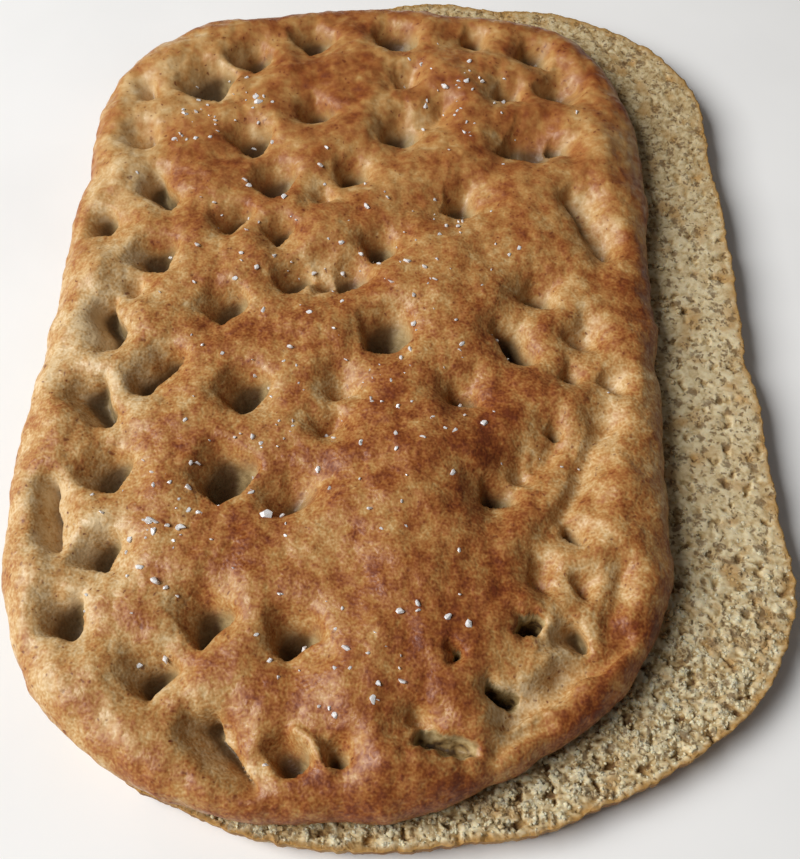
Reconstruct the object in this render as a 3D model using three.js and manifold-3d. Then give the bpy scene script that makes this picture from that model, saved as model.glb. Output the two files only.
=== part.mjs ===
// A focaccia split level through its thickness. The base lies crumb side up, and the dimpled,
// salted top lies on it, moved across and turned a little, so that much of the crumb shows beside it.
// Millimetres. X runs across the loaf, Y from its front to its back and Z up from the table.
import * as THREE from "three";
import { mergeVertices } from "three/addons/utils/BufferGeometryUtils.js";
import Module from "manifold-3d";

// Outlines of the two halves. A corner is a quarter ellipse, [along X, along Y]. A swell is where the dough
// was stretched out of line by hand, [across, along, reach, outwards].
const TOP = {
  left: -97,
  right: 99.5,
  front: -154,
  back: 143,
  backCrown: 6.5,
  corners: { frontLeft: [83, 83], frontRight: [102, 83], backRight: [37, 77], backLeft: [52, 60] },
  swells: [[-98, -50, 16, 2.2], [-96, 62, 16, -1.4], [-58, 142, 18, -1.6], [62, -136, 20, -1.2]],
  points: 136,
};
const BASE = {
  left: -106,
  right: 106,
  front: -158,
  back: 159,
  backCrown: 4.5,
  corners: { frontLeft: [93, 54], frontRight: [118, 76], backRight: [73, 57], backLeft: [90, 62] },
  swells: [[106, 35, 20, 1], [106, -2, 12, -1.6], [60, -140, 30, -0.8], [-40, -150, 22, 1.2]],
  points: 160,
};
const BASE_SHIFT = new THREE.Vector2(25, 0);
const BASE_TURN = THREE.MathUtils.degToRad(3.7);
const OUTLINE_RIPPLE = 0.3;

// Heights. The cut face of the top lies a hair's breadth above the crumb of the base.
const BASE_THICKNESS = 10;
const BASE_BULGE = { outwards: 0.6, height: 6.2 };
const BASE_FOOT = { inset: 0.8, height: 2.2 };
const BASE_SOLE_INSET = 4.5;
const REST_GAP = 0.3;
const CUT_HEIGHT = BASE_THICKNESS + REST_GAP;
const RIM_EQUATOR = 5;
const RIM_CREST = 14.5;
const RIM_ROUNDING = 15;
const RIM_UNDERCUT = 1.4;
const CROWN_RISE = 3.6;
const WAVE_HEIGHT = 0.7;
const WAVE_LENGTH = { across: 107, along: 132 };
const SLANT_WAVE_LENGTH = { across: 182, along: 82 };
const BROAD_RISE = {
  from: new THREE.Vector2(26, -55),
  to: new THREE.Vector2(19, -128),
  reach: 22,
  height: 3.4,
};

// The crust sinks in a wide funnel around each dimple, which leaves the pillows between them, and a dimple
// goes no deeper than the least crust that stays over the cut.
const FUNNEL_DEPTH = 5.4;
const CRUST_FLOOR = 2.2;

// A dimple falls gently on the side that the finger came from and steeply on the other. The fingers fan out
// over the loaf: the angle of that side in its middle, and its change with each millimetre across.
const PRESS_REACH = 1.3;
const PRESS_LEAN = 0.42;
const PRESS_FROM = { middle: 115, perMillimetre: -0.75 };

// Finger dimples from the back of the loaf to its front: [across, along, radius]. The depth of each is the
// least one of its kind and a share of its radius, and its funnel reaches further than its radius.
const DIMPLES = {
  deep: {
    leastDepth: 3.4,
    depthPerRadius: 1.2,
    funnelReach: 7,
    places: [
      [-21, 128, 6.5], [9, 130, 6.5], [38, 132, 4.5], [61, 124.5, 5.5], [-42.5, 117, 6], [-57, 102.5, 8],
      [-17, 90.5, 5.5], [51.5, 103.5, 4], [12, 82, 6], [-39, 76, 5.5], [53, 76.5, 4.5], [68, 79.5, 4.5],
      [-29, 56, 6], [-2.5, 62, 4.5], [34.5, 51, 5], [-41, 39.5, 5], [-25, 34.5, 4], [8.5, 30.5, 5],
      [-86, 37, 5.5], [-65, 23.5, 6], [-19, 15.5, 4.5], [-0.5, 17.5, 5], [60.5, 13.5, 4.5], [-40, 4, 6],
      [12, -4.5, 7], [71, -16, 3.5], [-30, -28.5, 6.5], [37.5, -26.5, 4], [65, -36.5, 3], [-68, -57.5, 6.5],
      [-33.5, -57.5, 7.5], [48, -59, 4.5], [69.5, -70, 2.6], [-66, -83.5, 5.5], [-74, -102.5, 6.5],
      [-33, -102, 6], [-8, -106, 6], [68.5, -102.5, 3.4], [-46.5, -118.5, 5.5], [-29, -132, 3.8],
      [-7, -138.5, 4.5], [6, -138.5, 3],
    ],
  },
  shallow: {
    leastDepth: 1,
    depthPerRadius: 0.6,
    funnelReach: 7,
    places: [
      [-80, 100, 5], [14, 108, 5], [71, 109, 8], [60, 80.5, 9], [-78, 78, 6], [-12, 51, 4], [-71, 11, 3.5],
      [-9, 17, 6], [75, -2, 5], [84, -17, 4.5], [0, -25, 4], [-4, -38.5, 3.5], [-13, -61.5, 7],
      [56, -52, 4], [73, -86, 4], [27, -128, 3.5],
    ],
  },
};

// Dimples dragged into grooves, the ones that tore open, folds, creases and the tucks behind the rolled rim:
// [from X, from Y, to X, to Y, half width].
const GROOVES = {
  dragged: {
    leastDepth: 3.6,
    depthPerRadius: 1.3,
    funnelReach: 7,
    places: [
      [-71, 55, -65, 47, 4], [-79, 2, -74, -9, 4], [51, -2.5, 55.5, -9.5, 4.5], [-61, -24.5, -56, -18.5, 4.8],
      [-79, -29, -72.5, -37, 4.5],
    ],
  },
  shallow: {
    leastDepth: 1,
    depthPerRadius: 0.6,
    funnelReach: 7,
    places: [
      [75, 54, 84, 35.5, 5], [61, -80, 61, -86, 3.2],
    ],
  },
  torn: {
    leastDepth: 6,
    depthPerRadius: 1.8,
    funnelReach: 2,
    places: [
      [55.5, -100.2, 57.5, -99.8, 2.7], [47, -119, 51.5, -120.8, 2.2], [29, -133, 40, -135, 3],
    ],
  },
  fold: {
    leastDepth: 1.8,
    depthPerRadius: 1,
    funnelReach: 4,
    places: [
      [-84.5, -62, -80, -79, 3.3], [-29, -134, -17, -146, 4.8],
    ],
  },
  tuck: {
    leastDepth: 1.6,
    depthPerRadius: 0.6,
    funnelReach: 3,
    places: [
      [84, -102, 66.8, -116, 3.6], [66.8, -116, 51, -126.5, 3.4], [61.5, -127, 48, -135, 2.4],
    ],
  },
  crease: {
    leastDepth: 0,
    depthPerRadius: 0.42,
    funnelReach: 7,
    places: [
      [16, 82, 26, 93, 3], [84, -84, 80, -100, 2.2], [65, -42, 47, -64, 3], [80, -33, 68, -66, 3.6],
    ],
  },
};

// Coarse salt: the crystals that catch the eye, [across, along, size], and the handfuls around them.
const SALT_BIGGEST = [
  [-19, -70, 3.6], [-48, -92, 3.2], [-53, -88, 2.4], [15, -124, 2.6], [5, -128, 2.4], [40, -102, 2.8],
  [-43, -113, 2.4],
];
const SALT_HANDFULS = [
  { x: -52, y: 84, spread: 17, crystals: 5 },
  { x: 38, y: 92, spread: 19, crystals: 5 },
  { x: 12, y: 28, spread: 24, crystals: 5 },
  { x: -43, y: -68, spread: 17, crystals: 6 },
  { x: 12, y: -112, spread: 18, crystals: 3 },
];
const SALT_LARGEST = 2.5;
const SALT_SMALLEST = 1.7;
const SALT_SHAPE = { long: 1.15, wide: 0.85, high: 0.75 };
const SALT_TILT_SHARE = 0.4;
const SALT_SUNK_SHARE = 0.4;
const SALT_DEEPEST = 2;

// The torn crumb: how uneven it is, and the pores that are larger than its grain.
const CRUMB_ROUGHNESS = 1.3;
const CRUMB_PORE_DEPTH = 1.6;
const CRUMB_PORE_SHARE = 0.08;

// How finely the surfaces are divided.
const RIM_RINGS = [1.2, 3.6, 7.2, 11.6];
const PRESS_RINGS = [
  { share: 0.4, points: 6 },
  { share: 0.72, points: 8 },
  { share: 1.02, points: 10 },
  { share: 1.4, points: 10 },
];
const PRESS_POINT_GAP = 1.7;
const RIM_POINT_GAP = 0.9;
const CRUST_STEP = 7;
const CRUMB_STEP = 3.5;
const COVERED_CRUMB_STEP = 16;
const COVER_MARGIN = 4;

const CRUST_MATERIAL = new THREE.MeshStandardMaterial({ color: 0xa9713f, roughness: 0.62, metalness: 0 });
const CRUMB_MATERIAL = new THREE.MeshStandardMaterial({ color: 0xc2b28d, roughness: 0.9, metalness: 0 });

const wasm = await Module();
wasm.setup();

// A repeatable number from 0 to 1 for a whole number.
function draw(index) {
  const wave = Math.sin(index * 12.9898) * 43758.5453;
  return wave - Math.floor(wave);
}

// The outline of a half as evenly spaced points, counter-clockwise.
function outlinePoints({ left, right, front, back, backCrown, corners, swells, points }) {
  const { frontLeft, frontRight, backRight, backLeft } = corners;
  const quarter = Math.PI / 2;
  const path = new THREE.Path();
  const corner = (x, y, [radiusX, radiusY], turns) =>
    path.absellipse(x, y, radiusX, radiusY, turns * quarter, (turns + 1) * quarter, false, 0);
  corner(left + frontLeft[0], front + frontLeft[1], frontLeft, 2);
  corner(right - frontRight[0], front + frontRight[1], frontRight, 3);
  corner(right - backRight[0], back - backRight[1], backRight, 0);
  path.quadraticCurveTo((left + right) / 2, back + 2 * backCrown, left + backLeft[0], back);
  corner(left + backLeft[0], back - backLeft[1], backLeft, 1);
  path.closePath();
  return path.getSpacedPoints(points).slice(0, points).map((point) => stretched(point, swells));
}

// A point of an outline moved in or out with the swells near it and a slight ripple.
function stretched(point, swells) {
  const angle = point.angle();
  let out = OUTLINE_RIPPLE * (Math.sin(9 * angle + 2.3) + Math.sin(17 * angle) + Math.sin(26 * angle + 0.8));
  for (const [x, y, reach, outwards] of swells) {
    out += outwards * Math.exp(-(((point.x - x) ** 2 + (point.y - y) ** 2) / reach ** 2));
  }
  return point.setLength(point.length() + out);
}

// The outline moved inwards by a distance.
function insetRing(outline, distance) {
  return outline.map((point, i) => {
    const next = outline[(i + 1) % outline.length];
    const before = outline[(i + outline.length - 1) % outline.length];
    const along = next.clone().sub(before).normalize();
    return point.clone().add(new THREE.Vector2(-along.y, along.x).multiplyScalar(distance));
  });
}

function isInside(outline, { x, y }) {
  let inside = false;
  outline.forEach((from, i) => {
    const to = outline[(i + 1) % outline.length];
    const spans = from.y > y !== to.y > y;
    if (spans && x < from.x + ((to.x - from.x) * (y - from.y)) / (to.y - from.y)) inside = !inside;
  });
  return inside;
}

function nearestOnSegment(point, from, to) {
  const run = to.clone().sub(from);
  const share = run.lengthSq() ? point.clone().sub(from).dot(run) / run.lengthSq() : 0;
  return from.clone().addScaledVector(run, THREE.MathUtils.clamp(share, 0, 1));
}

function distanceToOutline(point, outline) {
  const gaps = outline.map((from, i) =>
    nearestOnSegment(point, from, outline[(i + 1) % outline.length]).distanceTo(point),
  );
  return Math.min(...gaps);
}

// Every dimple and groove as one kind of press: the two ends of its run, its radius, the side that the finger
// came from, its depth and how far its funnel reaches.
function pressOf([fromX, fromY, toX, toY, radius], { leastDepth, depthPerRadius, funnelReach }) {
  return {
    from: new THREE.Vector2(fromX, fromY),
    to: new THREE.Vector2(toX, toY),
    radius,
    side: THREE.MathUtils.degToRad(PRESS_FROM.middle + PRESS_FROM.perMillimetre * fromX),
    depth: leastDepth + radius * depthPerRadius,
    funnel: radius + funnelReach,
  };
}

const presses = [
  ...Object.values(DIMPLES).flatMap((kind) =>
    kind.places.map(([x, y, radius]) => pressOf([x, y, x, y, radius], kind)),
  ),
  ...Object.values(GROOVES).flatMap((kind) => kind.places.map((place) => pressOf(place, kind))),
];

// How far a press reaches in a direction, to the lip where the crust starts to fall.
function pressReach({ radius, side }, angle) {
  return radius * (PRESS_REACH + PRESS_LEAN * Math.cos(angle - side));
}

// How deep the crust is pressed in at a place, and how far it has sunk there with the dimples around it.
function pressedAt(point) {
  let depth = 0;
  let pillow = 1;
  for (const press of presses) {
    const offset = point.clone().sub(nearestOnSegment(point, press.from, press.to));
    const away = offset.length();
    const fall = Math.min(away / pressReach(press, offset.angle()), 1);
    depth = Math.max(depth, press.depth * (1 - fall ** 2) ** 1.5);
    pillow *= 1 - Math.exp(-2 * (away / press.funnel) ** 2);
  }
  return { depth, sinking: 1 - pillow };
}

// How far a broad rise along a run lifts the crust at a place.
function riseAt(point, { from, to, reach, height }) {
  return height * Math.exp(-((nearestOnSegment(point, from, to).distanceTo(point) / reach) ** 2));
}

function phase(place, waveLength) {
  return (2 * Math.PI * place) / waveLength;
}

// The height of the crust over the table: a rounded rim, a low crown, and pillows between the dimples.
function crustHeight(point, outline) {
  const { x, y } = point;
  const inset = Math.min(distanceToOutline(point, outline) / RIM_ROUNDING, 1);
  const rounding = Math.sqrt(1 - (1 - inset) ** 2);
  const crown = Math.max(0, 1 - (x / TOP.right) ** 2) * Math.max(0, 1 - (y / TOP.back) ** 2);
  const wave = Math.sin(phase(x, WAVE_LENGTH.across)) * Math.cos(phase(y, WAVE_LENGTH.along));
  const slant = Math.sin(phase(x, SLANT_WAVE_LENGTH.across) + phase(y, SLANT_WAVE_LENGTH.along));
  const { depth, sinking } = pressedAt(point);
  const rises = CROWN_RISE * crown + WAVE_HEIGHT * (wave + slant / 2) + riseAt(point, BROAD_RISE);
  const pillows = rises - FUNNEL_DEPTH * sinking - depth;
  const floor = CRUST_FLOOR * rounding;
  const overFloor = RIM_EQUATOR + (RIM_CREST - RIM_EQUATOR + pillows * inset) * rounding - floor;
  return CUT_HEIGHT + floor + (overFloor + Math.hypot(overFloor, 1)) / 2;
}

// Adds the candidates that keep a gap to all the points before them.
function addSpaced(points, candidates, gap) {
  for (const candidate of candidates) {
    if (points.every((point) => point.distanceTo(candidate) > gap)) points.push(candidate);
  }
}

// Points a step apart all over the inside of an outline, each moved a little by a seeded draw.
function strewnPoints(outline, step) {
  const { min, max } = new THREE.Box2().setFromPoints(outline);
  const strewn = [];
  for (let row = 0; min.y + row * step < max.y; row += 1) {
    for (let column = 0; min.x + column * step < max.x; column += 1) {
      const seed = 613 * row + column;
      const x = min.x + (column + 0.5 * (row % 2) + 0.5 * draw(seed)) * step;
      const y = min.y + (row + 0.5 * draw(seed + 7919)) * step;
      strewn.push(new THREE.Vector2(x, y));
    }
  }
  return strewn.filter((point) => isInside(outline, point));
}

// Rings of points around each press, closer together where the crust falls.
function pressPoints() {
  return presses.flatMap((press) => {
    const { from, to, radius } = press;
    const stops = Math.ceil(from.distanceTo(to) / radius);
    return Array.from({ length: stops + 1 }, (_, stop) => {
      const centre = from.clone().lerp(to, stops ? stop / stops : 0);
      const rings = PRESS_RINGS.flatMap(({ share, points }, ring) =>
        Array.from({ length: points }, (__, i) => {
          const angle = (2 * Math.PI * (i + 0.5 * (ring % 2))) / points;
          const reach = share * pressReach(press, angle);
          return centre.clone().add(new THREE.Vector2(reach * Math.cos(angle), reach * Math.sin(angle)));
        }),
      );
      return [centre, ...rings];
    }).flat();
  });
}

// Triangles between scattered points, none with another point inside its circle, as index triples.
function triangulated(points) {
  const far = 5000;
  const frame = [new THREE.Vector2(-far, -far), new THREE.Vector2(far, -far), new THREE.Vector2(0, far)];
  const framed = [...points, ...frame];
  const circled = (a, b, c) => {
    const [p, q, r] = [framed[a], framed[b], framed[c]];
    const span = 2 * (p.x * (q.y - r.y) + q.x * (r.y - p.y) + r.x * (p.y - q.y));
    const [pp, qq, rr] = [p.lengthSq(), q.lengthSq(), r.lengthSq()];
    const x = (pp * (q.y - r.y) + qq * (r.y - p.y) + rr * (p.y - q.y)) / span;
    const y = (pp * (r.x - q.x) + qq * (p.x - r.x) + rr * (q.x - p.x)) / span;
    return { corners: [a, b, c], x, y, reach: (p.x - x) ** 2 + (p.y - y) ** 2 };
  };
  let triangles = [circled(points.length, points.length + 1, points.length + 2)];
  points.forEach((point, index) => {
    const hollow = new Map();
    triangles = triangles.filter(({ corners: [a, b, c], x, y, reach }) => {
      if ((point.x - x) ** 2 + (point.y - y) ** 2 > reach) return true;
      for (const [from, to] of [[a, b], [b, c], [c, a]]) {
        if (!hollow.delete(`${to} ${from}`)) hollow.set(`${from} ${to}`, [from, to]);
      }
      return false;
    });
    for (const [from, to] of hollow.values()) triangles.push(circled(from, to, index));
  });
  return triangles.map(({ corners }) => corners).filter((corners) => Math.max(...corners) < points.length);
}

// A closed slab: an uneven face over the points, which start with the outline, rings of wall under its
// edge and a flat face below. Each ring of wall is { inset, height }, from the edge downwards.
function slabGeometry(outline, points, heights, walls) {
  const positions = points.flatMap(({ x, y }, i) => [x, y, heights[i]]);
  const isKept = (corners) => {
    const centre = corners.reduce((sum, i) => sum.add(points[i]), new THREE.Vector2()).divideScalar(3);
    return corners.some((i) => i >= outline.length) || isInside(outline, centre);
  };
  const triangles = triangulated(points).filter(isKept).flat();
  let upper = outline.map((_, i) => i);
  for (const { inset, height } of walls) {
    const lower = outline.map((_, i) => positions.length / 3 + i);
    for (const { x, y } of insetRing(outline, inset)) positions.push(x, y, height);
    lower.forEach((low, i) => {
      const next = (i + 1) % lower.length;
      triangles.push(upper[i], low, lower[next], upper[i], lower[next], upper[next]);
    });
    upper = lower;
  }
  for (const [a, b, c] of THREE.ShapeUtils.triangulateShape(outline, [])) {
    triangles.push(upper[a], upper[c], upper[b]);
  }
  const geometry = new THREE.BufferGeometry();
  geometry.setAttribute("position", new THREE.Float32BufferAttribute(positions, 3));
  geometry.setIndex(triangles);
  return geometry;
}

function solidOf(geometry) {
  const bare = geometry.clone();
  bare.deleteAttribute("normal");
  bare.deleteAttribute("uv");
  const merged = mergeVertices(bare, 1e-4);
  const vertProperties = new Float32Array(merged.attributes.position.array);
  const triVerts = new Uint32Array(merged.index.array);
  return new wasm.Manifold(new wasm.Mesh({ numProp: 3, vertProperties, triVerts }));
}

function meshOf(solid, name, material) {
  const { vertProperties, triVerts } = solid.getMesh();
  const geometry = new THREE.BufferGeometry();
  geometry.setAttribute("position", new THREE.BufferAttribute(new Float32Array(vertProperties), 3));
  geometry.setIndex(new THREE.BufferAttribute(new Uint32Array(triVerts), 1));
  geometry.computeVertexNormals();
  const mesh = new THREE.Mesh(geometry, material);
  mesh.name = name;
  return mesh;
}

// The salt crystals that stand out: the biggest ones, then the largest of each handful, apart from any that
// would lie down in a dimple.
function saltCrystals() {
  const biggest = SALT_BIGGEST.map(([x, y, size], n) => ({
    place: new THREE.Vector2(x, y),
    size,
    turn: Math.PI * draw(n),
  }));
  const strewn = SALT_HANDFULS.flatMap(({ x, y, spread, crystals }, handful) =>
    Array.from({ length: crystals }, (_, n) => {
      const seed = 101 * (handful + 1) + 7 * n;
      const reach = spread * Math.sqrt(draw(seed));
      const angle = 2 * Math.PI * draw(seed + 1);
      return {
        place: new THREE.Vector2(x + reach * Math.cos(angle), y + reach * Math.sin(angle)),
        size: THREE.MathUtils.lerp(SALT_LARGEST, SALT_SMALLEST, n / crystals),
        turn: Math.PI * draw(seed + 2),
      };
    }),
  );
  return [...biggest, ...strewn].filter(({ place }) => pressedAt(place).depth < SALT_DEEPEST);
}

// A blocky crystal with knocked-off corners, part sunk in the crust that it baked on.
function crystalGeometry({ place, size, turn }, outline) {
  const { long, wide, high } = SALT_SHAPE;
  return new THREE.IcosahedronGeometry(size / 2, 0)
    .scale(long, wide, high)
    .rotateX(SALT_TILT_SHARE * turn)
    .rotateZ(turn)
    .translate(place.x, place.y, crustHeight(place, outline) + size * (high / 2 - SALT_SUNK_SHARE));
}

function topHalf(outline) {
  const points = [...outline];
  const fromRim = (point) => isInside(outline, point) && distanceToOutline(point, outline) > RIM_RINGS[1];
  addSpaced(points, pressPoints().filter(fromRim), PRESS_POINT_GAP);
  for (const inset of RIM_RINGS) addSpaced(points, insetRing(outline, inset), RIM_POINT_GAP);
  addSpaced(points, strewnPoints(outline, CRUST_STEP), CRUST_STEP / 2);
  const heights = points.map((point, i) =>
    i < outline.length ? CUT_HEIGHT + RIM_EQUATOR : crustHeight(point, outline),
  );
  const walls = [
    { inset: RIM_UNDERCUT / 4, height: CUT_HEIGHT + RIM_EQUATOR / 2 },
    { inset: RIM_UNDERCUT, height: CUT_HEIGHT },
  ];
  let crust = solidOf(slabGeometry(outline, points, heights, walls));
  for (const crystal of saltCrystals()) crust = crust.add(solidOf(crystalGeometry(crystal, outline)));
  return meshOf(crust, "top_half", CRUST_MATERIAL);
}

function baseHalf(outline, cover) {
  const points = [...outline];
  const shaded = insetRing(cover, COVER_MARGIN);
  const shows = (point) => !isInside(shaded, point);
  addSpaced(points, strewnPoints(outline, CRUMB_STEP).filter(shows), CRUMB_STEP / 2);
  addSpaced(points, strewnPoints(outline, COVERED_CRUMB_STEP), COVERED_CRUMB_STEP / 2);
  const heights = points.map((_, i) => {
    const pore = draw(3 * i + 1) < CRUMB_PORE_SHARE && i >= outline.length ? CRUMB_PORE_DEPTH : 0;
    return BASE_THICKNESS - CRUMB_ROUGHNESS * draw(3 * i) - pore;
  });
  const walls = [
    { inset: -BASE_BULGE.outwards, height: BASE_BULGE.height },
    BASE_FOOT,
    { inset: BASE_SOLE_INSET, height: 0 },
  ];
  const crumb = solidOf(slabGeometry(outline, points, heights, walls));
  return meshOf(crumb, "base_half", CRUMB_MATERIAL);
}

// Both halves as they lie, moved together so that the origin is on the table under the middle of them.
const topOutline = outlinePoints(TOP);
const baseOutline = outlinePoints(BASE).map((point) =>
  point.rotateAround(new THREE.Vector2(), BASE_TURN).add(BASE_SHIFT),
);
const halves = new THREE.Group();
halves.add(topHalf(topOutline), baseHalf(baseOutline, topOutline));
const middle = new THREE.Box3().setFromObject(halves, true).getCenter(new THREE.Vector3());
halves.position.set(-middle.x, -middle.y, 0);

const focaccia = new THREE.Group();
focaccia.name = "focaccia";
focaccia.add(halves);

export default focaccia;
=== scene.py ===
"""A focaccia split level through its thickness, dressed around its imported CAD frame.

The base lies crumb side up, and the dimpled, salted top lies askew on it. Shapes are worked out in
millimetres in the loaf's own frame, as in the CAD source, and a mesh is moved to the CAD frame and to
metres when it is made.
"""

import logging
import math
from collections.abc import Sequence
from dataclasses import dataclass, field
from enum import Enum

import bmesh
import bpy
import numpy as np
from mathutils import Matrix, Vector


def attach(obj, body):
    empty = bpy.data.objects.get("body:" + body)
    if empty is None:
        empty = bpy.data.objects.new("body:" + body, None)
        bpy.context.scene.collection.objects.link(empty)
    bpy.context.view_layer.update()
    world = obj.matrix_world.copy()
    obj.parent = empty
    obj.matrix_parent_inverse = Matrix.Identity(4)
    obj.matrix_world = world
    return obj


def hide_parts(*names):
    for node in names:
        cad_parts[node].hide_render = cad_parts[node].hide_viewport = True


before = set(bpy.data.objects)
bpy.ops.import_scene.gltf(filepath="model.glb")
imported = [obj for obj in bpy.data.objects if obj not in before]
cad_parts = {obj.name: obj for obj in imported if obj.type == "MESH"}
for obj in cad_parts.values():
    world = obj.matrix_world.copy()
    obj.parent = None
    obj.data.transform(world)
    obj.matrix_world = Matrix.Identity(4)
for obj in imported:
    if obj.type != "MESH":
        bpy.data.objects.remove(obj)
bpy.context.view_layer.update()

LOG = logging.getLogger("focaccia")
BODY = "root"
MM = 0.001
LOAF_MIDDLE = np.array([19.27, 2.185, 0.0])  # loaf millimetres at the origin of the CAD frame
MIX_UNDER, MIX_OVER, MIX_OUT = 6, 7, 2  # numbers of a mix node's sockets for colours

Place = tuple[float, float]
Pair = tuple[float, float]
Faces = tuple[np.ndarray, int]


class Mark(Enum):
    """What is marked at each point of a mesh for its finish to read."""

    # How browned the crust is, with painted shade and painted light in places.
    BAKE_AND_SHADING = "bake_and_shading"
    # How deep a dimple is, which the crust darkens with painted shade.
    DIMPLE = "dimple"
    # The pale right sides of the dimples: partly flour, partly painted light.
    PALE_AND_LIT = "flour"
    TORN = "torn"
    # The crumb's tone, darker in its pores and gaps with painted shade and paler on its tips.
    PORE = "pore"
    EDGE = "edge"
    STIPPLE = "stipple"


@dataclass(frozen=True)
class PressShape:
    """The form of a finger mark.

    Attributes:
        least: How deep the smallest is, in millimetres.
        depth: How much deeper it gets with its radius.
        bottom: How many radii its deepest place lies towards where the finger went.
        ahead: How many radii further its upright wall ends.
        behind: How many radii back its slope starts.
        slope: How the slope steepens: a power.
        near, far: How many radii its side towards the left reaches, and the gentler one towards the right.
        sides: How its walls and its right side steepen: a power.
        funnel: How much further the crust around it sinks, in millimetres.
        left_side: How its left side steepens: a power, which is less for a more upright side.
    """

    least: float
    depth: float
    bottom: float
    ahead: float
    behind: float
    slope: float
    near: float
    far: float
    sides: float
    funnel: float = 7.0
    left_side: float = 1.0


class PressKind(Enum):
    """How a finger marked the dough."""

    DEEP = PressShape(3.4, 1.2, 0.35, 0.62, 2.0, 1.2, 1.0, 1.5, 1.7, 7.0, 0.7)
    SHALLOW = PressShape(1.0, 0.6, 0.3, 0.8, 1.7, 1.6, 1.1, 1.4, 1.7)
    DRAGGED = PressShape(3.6, 1.3, 0.25, 0.62, 1.5, 1.3, 1.0, 1.3, 1.7, 7.0, 0.8)
    FOLD = PressShape(1.8, 1.0, 0.3, 0.25, 2.2, 1.8, 1.1, 1.1, 1.5, 4.0)
    TUCK = PressShape(1.6, 0.6, 0.3, 0.6, 2.6, 1.6, 1.1, 1.1, 1.5, 3.0)
    HOLE = PressShape(5.0, 1.8, 0.0, 1.0, 1.1, 0.8, 1.0, 1.1, 0.8, 2.0, 0.8)
    TORN = PressShape(3.0, 1.0, 0.1, 0.8, 1.2, 0.6, 1.05, 1.2, 0.7, 3.0, 0.7)
    CREASE = PressShape(0.0, 0.42, 0.0, 1.2, 1.6, 1.6, 1.1, 1.1, 1.5)
    RIDGE = PressShape(0.0, -1.3, 0.0, 1.0, 1.2, 1.6, 1.05, 1.05, 1.3)


# Finger dimples from the back of the loaf to its front: across, along, half width.
DIMPLES = {
    PressKind.DEEP: (
        (-21, 128, 6.5), (9, 130, 6.5), (38, 132, 4.5), (61, 124.5, 5.5), (-42.5, 117, 6), (-57, 102.5, 8),
        (-17, 90.5, 5.5), (51.5, 103.5, 4), (12, 82, 6), (-39, 76, 5.5), (53, 76.5, 4.5), (68, 79.5, 4.5),
        (-29, 56, 6), (-2.5, 62, 4.5), (34.5, 51, 5), (-41, 39.5, 5), (-25, 34.5, 4), (8.5, 30.5, 5),
        (-86, 37, 5.5), (-65, 23.5, 6), (-19, 15.5, 4.5), (-0.5, 17.5, 5), (60.5, 13.5, 4.5), (-40, 4, 6),
        (12, -4.5, 7), (71, -16, 3.5), (-30, -28.5, 6.5), (37.5, -26.5, 4), (65, -36.5, 3), (-68, -57.5, 6.5),
        (-33.5, -57.5, 7.5), (48, -59, 4.5), (69.5, -70, 2.6), (-66, -83.5, 5.5), (-74, -102.5, 6.5),
        (-33, -102, 6), (-8, -106, 6), (-46.5, -118.5, 5.5), (-7, -138.5, 4.5), (6, -138.5, 3),
    ),
    PressKind.SHALLOW: (
        (-80, 100, 5), (14, 108, 5), (71, 109, 8), (60, 80.5, 9), (-78, 78, 6), (-12, 51, 4),
        (-71, 11, 3.5), (-9, 17, 6), (75, -2, 5), (84, -17, 4.5), (0, -25, 4),
        (-4, -38.5, 3.5), (-13, -61.5, 7), (56, -52, 4), (73, -86, 4), (27, -128, 3.5),
    ),
}

# Dimples dragged into grooves, torn holes, creases and a ridge: from across, from along, to across, to along,
# half width.
GROOVES = {
    PressKind.DRAGGED: (
        (-71, 55, -65, 47, 4), (-79, 2, -74, -9, 4), (51, -2.5, 55.5, -9.5, 4.5),
        (-61, -24.5, -56, -18.5, 4.8), (-79, -29, -72.5, -37, 4.5),
    ),
    PressKind.SHALLOW: ((75, 54, 84, 35.5, 5), (61, -80, 61, -86, 3.2)),
    PressKind.HOLE: (
        (55.5, -100.2, 57.5, -99.8, 2.7), (47, -119, 51.5, -120.8, 2.2), (36.3, -109.5, 36.3, -110.8, 0.9),
    ),
    PressKind.TORN: ((29, -133, 40, -135, 3.0),),
    PressKind.CREASE: (
        (16, 82, 26, 93, 3), (84, -84, 80, -100, 2.2), (65, -42, 47, -64, 3), (80, -33, 68, -66, 3.6),
    ),
    PressKind.RIDGE: ((-5, -132.5, 5, -141.5, 2.4),),
}

# Folds, tucks beside the rolled rim and leaning dimples: from across, from along, to across, to along, half
# width, and the side that each slopes from in degrees.
LEANING = {
    PressKind.FOLD: ((-84.5, -62, -80, -79, 3.3, 175), (-29, -134, -17, -146, 4.8, 220)),
    PressKind.TUCK: (
        (84, -102, 66.8, -116, 3.6, 129), (66.8, -116, 51, -126.5, 3.4, 123),
        (61.5, -127, 48, -135, 2.4, 123),
    ),
    PressKind.DEEP: ((68.5, -102.5, 68.5, -102.5, 3.4, 185), (-29, -132, -29, -132, 3.8, 200)),
}


def linear(code: str) -> tuple[float, float, float, float]:
    """Turns an sRGB hex colour to linear light.

    Args:
        code: The colour as "#rrggbb".

    Returns:
        Red, green, blue and alpha.
    """
    shares = [int(code[i : i + 2], 16) / 255 for i in (1, 3, 5)]
    return (*(s / 12.92 if s <= 0.04045 else ((s + 0.055) / 1.055) ** 2.4 for s in shares), 1.0)


def per_metre(size: float) -> float:
    """Gives the texture scale for a pattern that repeats every `size` millimetres."""
    return 1 / (size * MM)


def connect(tree: bpy.types.NodeTree, node: bpy.types.Node, inputs: dict[str | int, object]) -> None:
    """Links or sets inputs of a node.

    Args:
        tree: The material's node tree.
        node: The node.
        inputs: A value, or an output to link, for each input.
    """
    for name, value in inputs.items():
        if isinstance(value, bpy.types.NodeSocket):
            tree.links.new(value, node.inputs[name])
        else:
            node.inputs[name].default_value = value


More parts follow.
